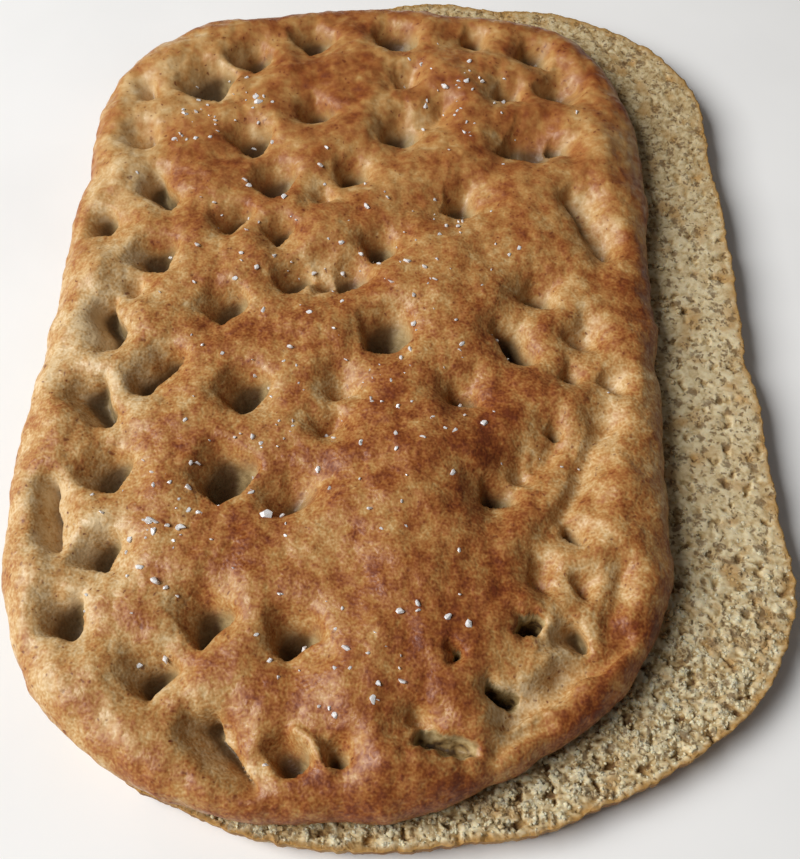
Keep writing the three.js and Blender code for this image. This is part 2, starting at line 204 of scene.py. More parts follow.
def add_node(
    tree: bpy.types.NodeTree,
    kind: str,
    settings: dict[str, object] | None = None,
    inputs: dict[str | int, object] | None = None,
    stops: Sequence[tuple[float, str]] = (),
) -> bpy.types.Node:
    """Adds a node with its settings, links and colour stops.

    Args:
        tree: The material's node tree.
        kind: The node's type, without the words that every shader node's starts with.
        settings: Values for the node's own properties.
        inputs: A value, or an output to link, for each input.
        stops: Places and sRGB colours of a colour ramp.

    Returns:
        The node.
    """
    node = tree.nodes.new(f"ShaderNode{kind}")
    for name, value in (settings or {}).items():
        setattr(node, name, value)
    connect(tree, node, inputs or {})
    for index, (place, code) in enumerate(stops):
        ramp = node.color_ramp.elements
        stop = ramp[index] if index < 2 else ramp.new(place)
        stop.position = place
        stop.color = linear(code)
    return node


def between(edge: Pair, cover: Pair = (0.0, 1.0)) -> dict[str, float]:
    """Gives the inputs of a range that goes from one cover to the other between the values of an edge."""
    return dict(zip(("From Min", "From Max", "To Min", "To Max"), (*edge, *cover)))


def start_material(
    name: str,
) -> tuple[bpy.types.Material, bpy.types.NodeTree, bpy.types.Node, bpy.types.NodeSocket]:
    """Starts a material.

    Args:
        name: Its name.

    Returns:
        The material, its node tree, its shader, and the place on the object that its patterns follow.
    """
    material = bpy.data.materials.new(name)
    material.use_nodes = True
    tree = material.node_tree
    place = add_node(tree, "TexCoord").outputs["Object"]
    return material, tree, tree.nodes["Principled BSDF"], place


def varied(
    tree: bpy.types.NodeTree,
    level: float | bpy.types.NodeSocket,
    noises: Sequence[tuple[bpy.types.NodeSocket, float]],
) -> bpy.types.NodeSocket:
    """Makes a level vary with noises, each around its middle.

    Args:
        tree: The material's node tree.
        level: What is varied.
        noises: Each noise, from 0 to 1, and how much of it is added.

    Returns:
        The varied level.
    """
    for noise, amount in noises:
        spread = add_node(tree, "Math", {"operation": "SUBTRACT"}, {0: noise, 1: 0.5}).outputs[0]
        level = add_node(tree, "Math", {"operation": "MULTIPLY_ADD"}, {
            0: spread, 1: amount, 2: level,
        }).outputs[0]
    return level


def bent_place(
    tree: bpy.types.NodeTree, place: bpy.types.NodeSocket, size: float, reach: float
) -> bpy.types.NodeSocket:
    """Bends a place to and fro, so that the spots of a pattern on it aren't round.

    Args:
        tree: The material's node tree.
        place: The place on the object.
        size: Distance between the bends, in millimetres.
        reach: How far it is bent, in millimetres.

    Returns:
        The bent place.
    """
    wander = add_node(tree, "TexNoise", {}, {
        "Vector": place, "Scale": per_metre(size), "Detail": 1.0,
    }).outputs["Color"]
    return add_node(tree, "VectorMath", {"operation": "MULTIPLY_ADD"}, {
        0: wander, 1: [reach * MM] * 3, 2: place,
    }).outputs[0]


def draw(index: int) -> float:
    """Gives a repeatable number from 0 to 1 for a whole number, as the CAD source does."""
    wave = math.sin(index * 12.9898) * 43758.5453
    return wave - math.floor(wave)


@dataclass(frozen=True)
class Noise:
    """Seeded noise over a plane in millimetres.

    Attributes:
        seed: Keeps one pattern apart from the others.
    """

    seed: int

    def draws(self, column: np.ndarray, row: np.ndarray) -> np.ndarray:
        """Gives repeatable numbers from 0 to 1 for whole-number places.

        Args:
            column: Whole numbers across.
            row: Whole numbers along.

        Returns:
            One number for each place.
        """
        mixed = column.astype(np.int64) * 374761393 + row.astype(np.int64) * 668265263
        mixed = (mixed + 97 * self.seed * 1274126177) & 0xFFFFFFFF
        for shift in (15, 13):
            mixed = ((mixed ^ (mixed >> shift)) * 2246822519) & 0xFFFFFFFF
        return (mixed ^ (mixed >> 16)) / 2.0**32

    def smooth(self, x: np.ndarray, y: np.ndarray, size: float) -> np.ndarray:
        """Gives smooth noise from about -1 to 1.

        Args:
            x: Places across.
            y: Places along.
            size: Distance between its peaks.

        Returns:
            The noise at each place.
        """
        column, row = np.floor(x / size), np.floor(y / size)
        u, v = x / size - column, y / size - row
        ease_u, ease_v = (t**3 * (t * (6 * t - 15) + 10) for t in (u, v))
        total = np.zeros_like(u)
        for i, j in ((0, 0), (1, 0), (0, 1), (1, 1)):
            turn = 2 * np.pi * self.draws(column + i, row + j)
            weight = (ease_u if i else 1 - ease_u) * (ease_v if j else 1 - ease_v)
            total += weight * ((u - i) * np.cos(turn) + (v - j) * np.sin(turn))
        return 1.5 * total

    def layered(self, x: np.ndarray, y: np.ndarray, size: float, layers: int) -> np.ndarray:
        """Gives noise with finer layers, each half the size and strength of the one before.

        Args:
            x: Places across.
            y: Places along.
            size: Distance between the peaks of the coarsest layer.
            layers: How many layers.

        Returns:
            The noise at each place.
        """
        finer = (Noise(self.seed + layer).smooth(x, y, size / 2**layer) / 2**layer for layer in range(layers))
        return sum(finer)


def eased(values: np.ndarray, low: float, high: float) -> np.ndarray:
    """Gives 0 below `low`, 1 above `high` and a smooth rise between them."""
    share = np.clip((values - low) / (high - low), 0, 1)
    return share**2 * (3 - 2 * share)


def resampled(points: np.ndarray, steps: np.ndarray) -> np.ndarray:
    """Finds points along an open line.

    Args:
        points: The line's own points.
        steps: Shares of its length, from 0 to 1.

    Returns:
        A point for each step.
    """
    runs = np.hypot(*np.diff(points, axis=0).T)
    along = np.concatenate(([0], np.cumsum(runs)))
    return np.stack([np.interp(steps * along[-1], along, points[:, i]) for i in (0, 1)], axis=1)


def inward_normals(ring: np.ndarray) -> np.ndarray:
    """Gives the direction inwards at each point of a counter-clockwise ring."""
    run = np.roll(ring, -1, axis=0) - np.roll(ring, 1, axis=0)
    run /= np.hypot(*run.T)[:, None]
    return np.stack([-run[:, 1], run[:, 0]], axis=1)


def reach_of(ring: np.ndarray, middle: np.ndarray, turn: np.ndarray) -> np.ndarray:
    """Finds how far a ring is from a place inside it.

    Args:
        ring: The ring's points.
        middle: The place.
        turn: The directions to look in, in radians.

    Returns:
        The distance in each direction.
    """
    arm = ring - middle
    angle = np.arctan2(arm[:, 1], arm[:, 0])
    order = np.argsort(angle)
    return np.interp(turn, angle[order], np.hypot(*arm.T)[order], period=2 * np.pi)


def distance_to_ring(x: np.ndarray, y: np.ndarray, ring: np.ndarray) -> np.ndarray:
    """Gives the distance from each place to the nearest point of a ring."""
    nearest = np.full(x.shape, np.inf)
    for at_x, at_y in ring:
        np.minimum(nearest, (x - at_x) ** 2 + (y - at_y) ** 2, out=nearest)
    return np.sqrt(nearest)


@dataclass(frozen=True)
class Outline:
    """The plan of one half: quarter-ellipse corners joined by straight sides and a bowed back.

    Attributes:
        left, right, front, back: Where its sides are.
        back_crown: How far the back edge bows out.
        front_left, front_right, back_right, back_left: Radii of each corner, across and along.
        swells: Where the dough was stretched out of line: across, along, reach, outwards.
        ripple: Height of the slight waves all around.
        points: How many points the outline is worked out in.
    """

    left: float
    right: float
    front: float
    back: float
    back_crown: float
    front_left: Pair
    front_right: Pair
    back_right: Pair
    back_left: Pair
    swells: tuple[tuple[float, float, float, float], ...]
    ripple: float = 0.3
    points: int = 3200

    def ring(self) -> np.ndarray:
        """Gives closely spaced points, counter-clockwise from the left side."""
        turn = np.linspace(0, np.pi / 2, 200)
        share = np.linspace(0, 1, 200)[:, None]

        def corner(x: float, y: float, radii: Pair, turns: int) -> np.ndarray:
            """Gives a quarter ellipse around a centre."""
            angle = turn + turns * np.pi / 2
            return np.stack([x + radii[0] * np.cos(angle), y + radii[1] * np.sin(angle)], axis=1)

        back_from = np.array([self.right - self.back_right[0], self.back])
        back_over = np.array([(self.left + self.right) / 2, self.back + 2 * self.back_crown])
        back_to = np.array([self.left + self.back_left[0], self.back])
        path = np.concatenate([
            corner(self.left + self.front_left[0], self.front + self.front_left[1], self.front_left, 2),
            corner(self.right - self.front_right[0], self.front + self.front_right[1], self.front_right, 3),
            corner(self.right - self.back_right[0], self.back - self.back_right[1], self.back_right, 0),
            back_from * (1 - share) ** 2 + 2 * back_over * share * (1 - share) + back_to * share**2,
            corner(self.left + self.back_left[0], self.back - self.back_left[1], self.back_left, 1),
        ])
        path = np.concatenate([path, path[:1]])
        spaced = resampled(path, np.arange(self.points) / self.points)
        return self.stretched(spaced)

    def stretched(self, points: np.ndarray) -> np.ndarray:
        """Moves points out or in with the swells near them and a slight ripple.

        Args:
            points: Points of the plain outline.

        Returns:
            The points where the dough has them.
        """
        angle = np.arctan2(points[:, 1], points[:, 0])
        out = self.ripple * (np.sin(9 * angle + 2.3) + np.sin(17 * angle) + np.sin(26 * angle + 0.8))
        for x, y, reach, outwards in self.swells:
            away = np.hypot(points[:, 0] - x, points[:, 1] - y)
            out += outwards * np.exp(-((away / reach) ** 2))
        return points * (1 + out / np.hypot(*points.T))[:, None]


TOP_OUTLINE = Outline(
    left=-97, right=99.5, front=-154, back=143, back_crown=6.5,
    front_left=(83, 83), front_right=(102, 83), back_right=(37, 77), back_left=(52, 60),
    swells=((-98, -50, 16, 2.2), (-96, 62, 16, -1.4), (-58, 142, 18, -1.6), (62, -136, 20, -1.2)),
)
BASE_OUTLINE = Outline(
    left=-106, right=106, front=-158, back=159, back_crown=4.5,
    front_left=(93, 54), front_right=(118, 76), back_right=(73, 57), back_left=(90, 62),
    swells=((106, 35, 20, 1), (106, -2, 12, -1.6), (60, -140, 30, -0.8), (-40, -150, 22, 1.2)),
)
BASE_SHIFT = np.array([25.0, 0.0])
BASE_TURN = math.radians(3.7)


def base_ring() -> np.ndarray:
    """Gives the outline of the base, turned and moved to where it lies under the top."""
    cos, sin = math.cos(BASE_TURN), math.sin(BASE_TURN)
    return BASE_OUTLINE.ring() @ np.array([[cos, sin], [-sin, cos]]) + BASE_SHIFT


FINGER_TURN = 115.0  # degrees: the side that the finger came from in the middle of the loaf
FINGER_FAN = 0.75  # degrees: how far that side turns for each millimetre across
PALE_LIT_RISE = 1.1  # how steeply the paleness on a dimple's right side sets in: partly flour, partly painted light
FUNNEL_FADE = 2.0  # how steeply the sinking around a press fades


def came_from(x: float) -> float:
    """Gives the angle of the side that the finger came from, which fans out over the loaf."""
    return math.radians(FINGER_TURN - FINGER_FAN * x)


def off_run(x: np.ndarray, y: np.ndarray, start: Place, end: Place) -> tuple[np.ndarray, np.ndarray]:
    """Finds how far places lie from the nearest point of a straight run.

    Args:
        x: Places across.
        y: Places along.
        start: One end of the run.
        end: Its other end, which may be the same.

    Returns:
        The distances across and along.
    """
    run = np.subtract(end, start)
    length = float(run @ run)
    share = np.clip(((x - start[0]) * run[0] + (y - start[1]) * run[1]) / length, 0, 1) if length else 0.0
    return x - start[0] - share * run[0], y - start[1] - share * run[1]


@dataclass(frozen=True)
class Press:
    """One finger mark in the dough.

    Attributes:
        start, end: The run that the finger was dragged along, which is one place for a dimple.
        radius: Half its width.
        kind: How the finger marked the dough.
        turn: The angle of the side that the finger came from.
    """

    start: Place
    end: Place
    radius: float
    kind: PressKind
    turn: float

    def marked(self, x: np.ndarray, y: np.ndarray) -> tuple[np.ndarray, np.ndarray, np.ndarray]:
        """Works out how the press marks the crust at each place.

        Args:
            x: Places across.
            y: Places along.

        Returns:
            How deep the crust is pressed in, the share of the pillow height that it leaves, and how deep it
            is on
            its right side, which is paler: partly flour, partly painted light on the side that faces the
                lamp.
        """
        off_x, off_y = off_run(x, y, self.start, self.end)
        form, cos, sin = self.kind.value, math.cos(self.turn), math.sin(self.turn)
        ahead = -(off_x * cos + off_y * sin) / self.radius - form.bottom
        aside = (off_x * sin - off_y * cos) / self.radius
        slope = np.clip(1 + ahead / form.behind, 0, 1) ** form.slope
        wall = (1 - np.clip(ahead / form.ahead, 0, 1) ** 2) ** form.sides
        on_left = aside < 0
        sides = np.maximum(0, 1 - (aside / np.where(on_left, form.near, form.far)) ** 2)
        sides = sides ** np.where(on_left, form.left_side, form.sides)
        depth = (form.least + self.radius * form.depth) * slope * wall * sides
        away = np.hypot(off_x, off_y)
        # Paler on the right side, which faces the lamp: partly flour, partly painted light.
        pale_and_lit = depth * np.clip(PALE_LIT_RISE * off_x / self.radius, 0, 1)
        kept = 1 - np.exp(-FUNNEL_FADE * (away / (self.radius + form.funnel)) ** 2)
        return depth, kept, pale_and_lit


def all_presses() -> list[Press]:
    """Gives every dimple and groove as a press."""
    round_ones = [
        Press((x, y), (x, y), radius, kind, came_from(x))
        for kind, places in DIMPLES.items()
        for x, y, radius in places
    ]
    long_ones = [
        Press((x, y), (to_x, to_y), radius, kind, came_from(x))
        for kind, places in GROOVES.items()
        for x, y, to_x, to_y, radius in places
    ]
    leaning_ones = [
        Press((x, y), (to_x, to_y), radius, kind, math.radians(turn))
        for kind, places in LEANING.items()
        for x, y, to_x, to_y, radius, turn in places
    ]
    return round_ones + long_ones + leaning_ones


@dataclass(frozen=True)
class Pressed:
    """What all the presses did to the crust at each place.

    Attributes:
        depth: How deep it is pressed in.
        hollow: How deep its dimples are, without the tucks.
        sinking: How far it has sunk around the presses, from 0 to 1.
        torn: How deep it is torn.
        pale_and_lit: How deep it is on the dimples' right sides, which are paler: partly flour, partly
            painted light.
        lean: Which way it is pushed under the lips, across and along: of length 1 or 0.
    """

    depth: np.ndarray
    hollow: np.ndarray
    sinking: np.ndarray
    torn: np.ndarray
    pale_and_lit: np.ndarray
    lean: np.ndarray


@dataclass(frozen=True)
class Dough:
    """How the crust lies over the top half, which its skin and its salt share.

    Attributes:
        cut: Height of the cut face over the table.
        equator: Height of the widest part of the rim over the cut.
        crest: Height of the crust over the cut where the rim's rounding ends.
        rounding: Width of the rim's rounding.
        crown: How much higher the middle lies.
        wave: Height of the long waves.
        wave_lengths, slant_lengths: Their lengths across and along, of the straight and the slanting ones.
        swell, swell_size: Height and size of the uneven swelling between them.
        rises: Broad rises of the dough: from, to, reach, height.
        funnel_depth: How far the crust sinks around the dimples.
        floor: Least height of the bottom of a dimple over the cut.
        undercut: How far a dimple leans under its front lip, as a share of its depth.
        uneven, uneven_size: How far the outlines of the dimples wander, and over what distance.
        ragged, ragged_size: The same for the tears.
        gather: How much closer the skin's points lie in the dimples.
        gather_reach: How far around a dimple that reaches: a share of its radius, and millimetres more.
        presses: Every finger mark.
    """

    cut: float = 10.3
    equator: float = 5
    crest: float = 14.5
    rounding: float = 15
    crown: float = 3.6
    wave: float = 0.7
    wave_lengths: Pair = (107, 132)
    slant_lengths: Pair = (182, 82)
    swell: float = 1.3
    swell_size: float = 30.0
    rises: tuple[tuple[Place, Place, float, float], ...] = (((26, -55), (19, -128), 22, 3.4),)
    funnel_depth: float = 5.4
    floor: float = 2.2
    undercut: float = 0.25
    uneven: float = 2.0
    uneven_size: float = 10.0
    ragged: float = 1.2
    ragged_size: float = 3.6
    gather: float = 0.42
    gather_reach: Pair = (1.1, 2)
    presses: list[Press] = field(default_factory=all_presses)

    def pressed(self, x: np.ndarray, y: np.ndarray) -> Pressed:
        """Adds up all the presses.

        Args:
            x: Places across.
            y: Places along.

        Returns:
            What they did at each place.
        """
        depth, hollow, torn, pale_and_lit, ridge = (np.zeros_like(x) for _ in range(5))
        lean = np.zeros((len(x), 2))
        pillow = np.ones_like(x)
        warped_x = x + self.uneven * Noise(3).smooth(x, y, self.uneven_size)
        warped_y = y + self.uneven * Noise(5).smooth(x, y, self.uneven_size)
        torn_x = x + self.ragged * Noise(13).smooth(x, y, self.ragged_size)
        torn_y = y + self.ragged * Noise(19).smooth(x, y, self.ragged_size)
        for press in self.presses:
            is_torn = press.kind in (PressKind.TORN, PressKind.HOLE)
            pit, share, pale = press.marked(*((torn_x, torn_y) if is_torn else (warped_x, warped_y)))
            if press.kind is PressKind.RIDGE:
                ridge += pit
                continue
            depth = np.maximum(depth, pit)
            lean -= (pit**2)[:, None] * (math.cos(press.turn), math.sin(press.turn))
            pillow *= share
            if press.kind is PressKind.TUCK:
                continue
            hollow = np.maximum(hollow, pit)
            if is_torn:
                torn = np.maximum(torn, pit)
            else:
                pale_and_lit = np.maximum(pale_and_lit, pale)
        lean /= np.maximum(np.hypot(*lean.T), 1e-9)[:, None]
        return Pressed(depth + ridge, hollow + ridge, 1 - pillow, torn, pale_and_lit, lean)

    def height(self, x: np.ndarray, y: np.ndarray, inset: np.ndarray) -> np.ndarray:
        """Works out the height of the crust over the table.

        Args:
            x: Places across.
            y: Places along.
            inset: Distance of each place from the outline.

        Returns:
            The height at each place.
        """
        share = np.minimum(inset / self.rounding, 1)
        rounding = np.sqrt(1 - (1 - share) ** 2)
        across = np.maximum(0, 1 - (x / TOP_OUTLINE.right) ** 2)
        along = np.maximum(0, 1 - (y / TOP_OUTLINE.back) ** 2)
        wave = np.sin(2 * np.pi * x / self.wave_lengths[0]) * np.cos(2 * np.pi * y / self.wave_lengths[1])
        slant = np.sin(2 * np.pi * (x / self.slant_lengths[0] + y / self.slant_lengths[1]))
        swelling = Noise(7).layered(x, y, self.swell_size, 2)
        pressed = self.pressed(x, y)
        pillows = self.crown * across * along + self.wave * (wave + slant / 2) + self.swell * swelling
        pillows -= self.funnel_depth * pressed.sinking + pressed.depth
        for start, end, reach, rise in self.rises:
            off_x, off_y = off_run(x, y, start, end)
            pillows += rise * np.exp(-(off_x**2 + off_y**2) / reach**2)
        over_cut = self.equator + (self.crest - self.equator + pillows * share) * rounding
        over_floor = over_cut - self.floor * rounding
        return self.cut + self.floor * rounding + (over_floor + np.sqrt(over_floor**2 + 1)) / 2

    def gathered(self, plan: np.ndarray, hold: np.ndarray) -> np.ndarray:
        """Draws points together in the dimples, where the skin is steep.

        Args:
            plan: Places across and along.
            hold: From 0, where a point may move, to 1, where it stays.

        Returns:
            The places that they move to.
        """
        moved = plan.copy()
        radii, more = self.gather_reach
        for press in self.presses:
            middle = (np.array(press.start) + np.array(press.end)) / 2
            half_run = math.dist(press.start, press.end) / 2
            arm = plan - middle
            near = np.exp(-((np.hypot(*arm.T) / (radii * press.radius + more + half_run)) ** 2))
            moved -= self.gather * ((1 - hold) * near)[:, None] * arm
        return moved


DOUGH = Dough()


def make_piece(
    name: str,
    points: np.ndarray,
    faces: Sequence[Faces],
    finishes: Sequence[bpy.types.Material],
    marks: dict[Mark, np.ndarray] | None = None,
    is_smooth: bool = True,
) -> bpy.types.Object:
    """Makes a mesh object in the CAD frame.

    Args:
        name: The piece's name.
        points: Its points in loaf millimetres.
        faces: Blocks of faces with the same number of corners, each with the number of its finish.
        finishes: The materials it wears.
        marks: What is marked at each point.
        is_smooth: Whether its faces are shaded as one smooth skin.

    Returns:
        The object.
    """
    mesh = bpy.data.meshes.new(name)
    mesh.vertices.add(len(points))
    mesh.vertices.foreach_set("co", ((points - LOAF_MIDDLE) * MM).astype(np.float32).ravel())
    corners = np.concatenate([block.ravel() for block, _ in faces])
    sizes = np.concatenate([np.full(len(block), block.shape[1]) for block, _ in faces])
    worn = np.concatenate([np.full(len(block), finish) for block, finish in faces])
    mesh.loops.add(len(corners))
    mesh.loops.foreach_set("vertex_index", corners.astype(np.int32))
    mesh.polygons.add(len(sizes))
    mesh.polygons.foreach_set("loop_start", (np.cumsum(sizes) - sizes).astype(np.int32))
    mesh.polygons.foreach_set("material_index", worn.astype(np.int32))
    mesh.polygons.foreach_set("use_smooth", np.full(len(sizes), is_smooth))
    for mark, values in (marks or {}).items():
        layer = mesh.attributes.new(mark.value, "FLOAT", "POINT")
        layer.data.foreach_set("value", values.astype(np.float32))
    for finish in finishes:
        mesh.materials.append(finish)
    mesh.validate()
    mesh.update(calc_edges=True)
    piece = bpy.data.objects.new(name, mesh)
    bpy.context.scene.collection.objects.link(piece)
    return piece


def ring_faces(rings: np.ndarray) -> np.ndarray:
    """Joins closed rings of points, which lie counter-clockwise and outwards or downwards in turn.

    Args:
        rings: Point numbers, one row for each ring.

    Returns:
        The four corners of each face.
    """
    inner, outer = rings[:-1], rings[1:]
    next_inner, next_outer = np.roll(inner, -1, axis=1), np.roll(outer, -1, axis=1)
    return np.stack([inner, outer, next_outer, next_inner], axis=-1).reshape(-1, 4)


def lump_pattern(finer: int) -> tuple[np.ndarray, np.ndarray]:
    """Gives the points and faces of a round lump, which is then knocked out of shape.

    Args:
        finer: How many times its faces are split, from 1.

    Returns:
        Its points at a radius of 1, and the three corners of each face.
    """
    pattern = bmesh.new()
    bmesh.ops.create_icosphere(pattern, subdivisions=finer, radius=1)
    pattern.verts.index_update()
    points = np.array([v.co for v in pattern.verts])
    faces = np.array([[v.index for v in face.verts] for face in pattern.faces])
    pattern.free()
    return points, faces


def fan_faces(ring: np.ndarray, hub: int) -> np.ndarray:
    """Joins a ring of points to a hub below or inside it.

    Args:
        ring: Point numbers of the ring.
        hub: Point number of the hub.

    Returns:
        The three corners of each face.
    """
    return np.stack([ring, np.full_like(ring, hub), np.roll(ring, -1)], axis=-1)


@dataclass(frozen=True)
class BakedCrust:
    """Wholemeal flatbread crust, oven-baked and brushed with oil.

    It gives the eye a mottled skin: golden to red-brown on the pillows, darker towards the bottom of the
    dimples with painted shade, paler on their right sides with flour and painted light, with rusty bran
    spots, a fine stipple of blisters and a slight sheen.

    Attributes:
        name: The material's name.
        tones: Colours from unbaked dough to the darkest crust, with how far each is baked.
        dimple_shade_tones: Crust down the slope of a dimple, darkening towards its bottom with painted shade.
        pale_lit_tone: Pale dough on a dimple's right side: partly flour, partly painted light where it faces
            the lamp.
        bran: Colour of the bran spots.
        tear_crumb_and_shade_tones: Crumb where the crust tore, from the edge of the tear to its bottom,
            darker down with painted shade.
        patch, mottle, grain: Sizes of the browned patches, the mottling and the fine grain.
        details: How finely each of them is broken up.
        blister: Distance between the fine blisters.
        patch_bake, mottle_bake: How far the patches and the mottling change how it is baked.
        grain_bake, blister_bake: How far the grain and the blisters do.
        dimple_edge, dimple_cover: Dimple marks between which the painted shade of its dimple tones sets in,
            and
        how fully.
        pale_lit_edge, pale_lit_cover: Mottling between which that pale, lit side sets in, and how thinly and
            fully.
        spot, fleck: Distances between the large bran spots and between the fine ones.
        bend: How far the spots are bent out of round.
        spot_ragged: How far the grain frays them.
        spot_edge, spot_cover: Shares of those distances between which they fade, and how full they are.
        spot_among: Patches and mottling between which they set in.
        tear_edge, tear_mottle: Tear marks between which the crumb sets in, and how mottled it is.
        ior: Index of refraction of a dry crust with a film of oil.
        gloss: Strength of its reflections.
        dry_edge, roughness: Mottling between which the crust gets drier, and how dull it is, oily and dry.
        lumps, stipple: Strength of the mottling's relief and of the fine relief, and their heights.
    """

    name: str = "wholemeal_crust_oven_baked_oiled"
    tones: tuple[tuple[float, str], ...] = (
        (0.0, "#dabe92"), (0.22, "#c8a26d"), (0.42, "#b5844b"),
        (0.62, "#a36835"), (0.8, "#8c4d22"), (1.0, "#6e3315"),
    )
    dimple_shade_tones: tuple[tuple[float, str], ...] = ((0.15, "#8f6032"), (0.5, "#5c4024"), (0.95, "#362719"))
    pale_lit_tone: str = "#b39a6c"
    bran: str = "#6a2c14"
    tear_crumb_and_shade_tones: tuple[tuple[float, str], ...] = (
        (0.05, "#b9a173"), (0.4, "#95794b"), (0.65, "#5c452b"), (0.95, "#3f2e1c"),
    )
    patch: float = 7.5
    mottle: float = 2.6
    grain: float = 0.8
    details: tuple[float, float, float] = (2.0, 1.5, 0.5)
    blister: float = 1.3
    patch_bake: float = 0.8
    mottle_bake: float = 0.55
    grain_bake: float = 0.4
    blister_bake: float = -0.14
    dimple_edge: Pair = (0.1, 0.6)
    dimple_cover: float = 0.9
    pale_lit_edge: Pair = (0.35, 0.6)
    pale_lit_cover: Pair = (0.45, 0.9)
    spot: float = 3.8
    fleck: float = 2.3
    bend: float = 3.0
    spot_ragged: float = 0.3
    spot_edge: Pair = (0.25, 0.38)
    spot_cover: float = 0.75
    spot_among: Pair = (0.46, 0.6)
    tear_edge: Pair = (0.05, 0.15)
    tear_mottle: float = 1.7
    ior: float = 1.45
    gloss: float = 0.38
    dry_edge: Pair = (0.3, 0.7)
    roughness: Pair = (0.3, 0.6)
    lumps: Pair = (0.5, 0.6)
    stipple: Pair = (0.28, 0.25)

    def material(self) -> bpy.types.Material:
        """Builds the material.

        Returns:
            The material.
        """
        material, tree, shader, place = start_material(self.name)
        bake_and_shading, dimple, flour, torn, stipple = (
            add_node(tree, "Attribute", {"attribute_name": mark.value}).outputs["Fac"]
            for mark in (Mark.BAKE_AND_SHADING, Mark.DIMPLE, Mark.PALE_AND_LIT, Mark.TORN, Mark.STIPPLE)
        )
        patch, mottle, grain = (
            add_node(tree, "TexNoise", {}, {
                "Vector": place, "Scale": per_metre(size), "Detail": detail, "Roughness": 0.55,
            }).outputs["Fac"]
            for size, detail in zip((self.patch, self.mottle, self.grain), self.details)
        )
        bent = bent_place(tree, place, self.mottle, self.bend)
        blister = add_node(tree, "TexVoronoi", {}, {
            "Vector": place, "Scale": per_metre(self.blister),
        }).outputs["Distance"]
        fine = varied(tree, 0.0, ((grain, self.grain_bake), (blister, self.blister_bake)))
        broad = varied(tree, bake_and_shading, ((patch, self.patch_bake), (mottle, self.mottle_bake)))
        level = add_node(tree, "Math", {"operation": "MULTIPLY_ADD"}, {
            0: fine, 1: stipple, 2: broad,
        }).outputs[0]
        colour = add_node(tree, "ValToRGB", {}, {"Fac": level}, self.tones).outputs["Color"]
        # Painted shade: the crust darkens down into the dimples.
        painted_dimple_shade = add_node(tree, "MapRange", {}, {
            "Value": dimple, **between(self.dimple_edge, (0.0, self.dimple_cover)),
        }).outputs["Result"]
        # The pale right side of a dimple: partly flour, partly painted light.
        pale_lit_share = add_node(tree, "Math", {"operation": "MULTIPLY"}, {
            0: flour,
            1: add_node(tree, "MapRange", {}, {
                "Value": mottle, **between(self.pale_lit_edge, self.pale_lit_cover),
            }).outputs["Result"],
        }).outputs[0]
        spots = 0.0
        for size, among in ((self.spot, patch), (self.fleck, mottle)):
            distance = add_node(tree, "TexVoronoi", {}, {
                "Vector": bent, "Scale": per_metre(size),
            }).outputs["Distance"]
            ragged = add_node(tree, "Math", {"operation": "MULTIPLY_ADD"}, {
                0: grain, 1: self.spot_ragged, 2: distance,
            }).outputs[0]
            spots = add_node(tree, "Math", {"operation": "MULTIPLY_ADD"}, {
                0: add_node(tree, "MapRange", {}, {
                    "Value": ragged, **between(self.spot_edge, (self.spot_cover, 0.0)),
                }).outputs["Result"],
                1: add_node(tree, "MapRange", {}, {
                    "Value": among, **between(self.spot_among),
                }).outputs["Result"],
                2: spots,
            }).outputs[0]
        tear = varied(tree, torn, ((mottle, self.tear_mottle),))
        tears = add_node(tree, "MapRange", {}, {
            "Value": torn, **between(self.tear_edge),
        }).outputs["Result"]
        # The tear's crumb darkens towards its bottom with painted shade.
        crumb = add_node(tree, "ValToRGB", {}, {"Fac": tear}, self.tear_crumb_and_shade_tones).outputs["Color"]
        hollow = add_node(tree, "ValToRGB", {}, {"Fac": dimple}, self.dimple_shade_tones).outputs["Color"]
        # Painted shade darkens the dimples, and painted light partly pales their right sides.
        for share, tone in (
            (spots, linear(self.bran)), (painted_dimple_shade, hollow), (pale_lit_share, linear(self.pale_lit_tone)), (tears, crumb),
        ):
            colour = add_node(tree, "Mix", {"data_type": "RGBA"}, {
                "Factor": share, MIX_UNDER: colour, MIX_OVER: tone,
            }).outputs[MIX_OUT]
        dullness = add_node(tree, "MapRange", {}, {
            "Value": mottle, **between(self.dry_edge, self.roughness),
        }).outputs["Result"]
        lumpy = add_node(tree, "Bump", {}, {
            "Height": mottle, "Strength": self.lumps[0], "Distance": self.lumps[1] * MM,
        }).outputs["Normal"]
        strength = add_node(tree, "Math", {"operation": "MULTIPLY"}, {
            0: stipple, 1: self.stipple[0],
        }).outputs[0]
        grained = add_node(tree, "Bump", {}, {
            "Height": grain, "Strength": strength, "Distance": self.stipple[1] * MM, "Normal": lumpy,
        }).outputs["Normal"]
        blistered = add_node(tree, "Bump", {"invert": True}, {
            "Height": blister, "Strength": strength, "Distance": self.stipple[1] * MM, "Normal": grained,
        }).outputs["Normal"]
        connect(tree, shader, {
            "Base Color": colour, "Roughness": dullness, "Normal": blistered,
            "IOR": self.ior, "Specular IOR Level": self.gloss,
        })
        return material


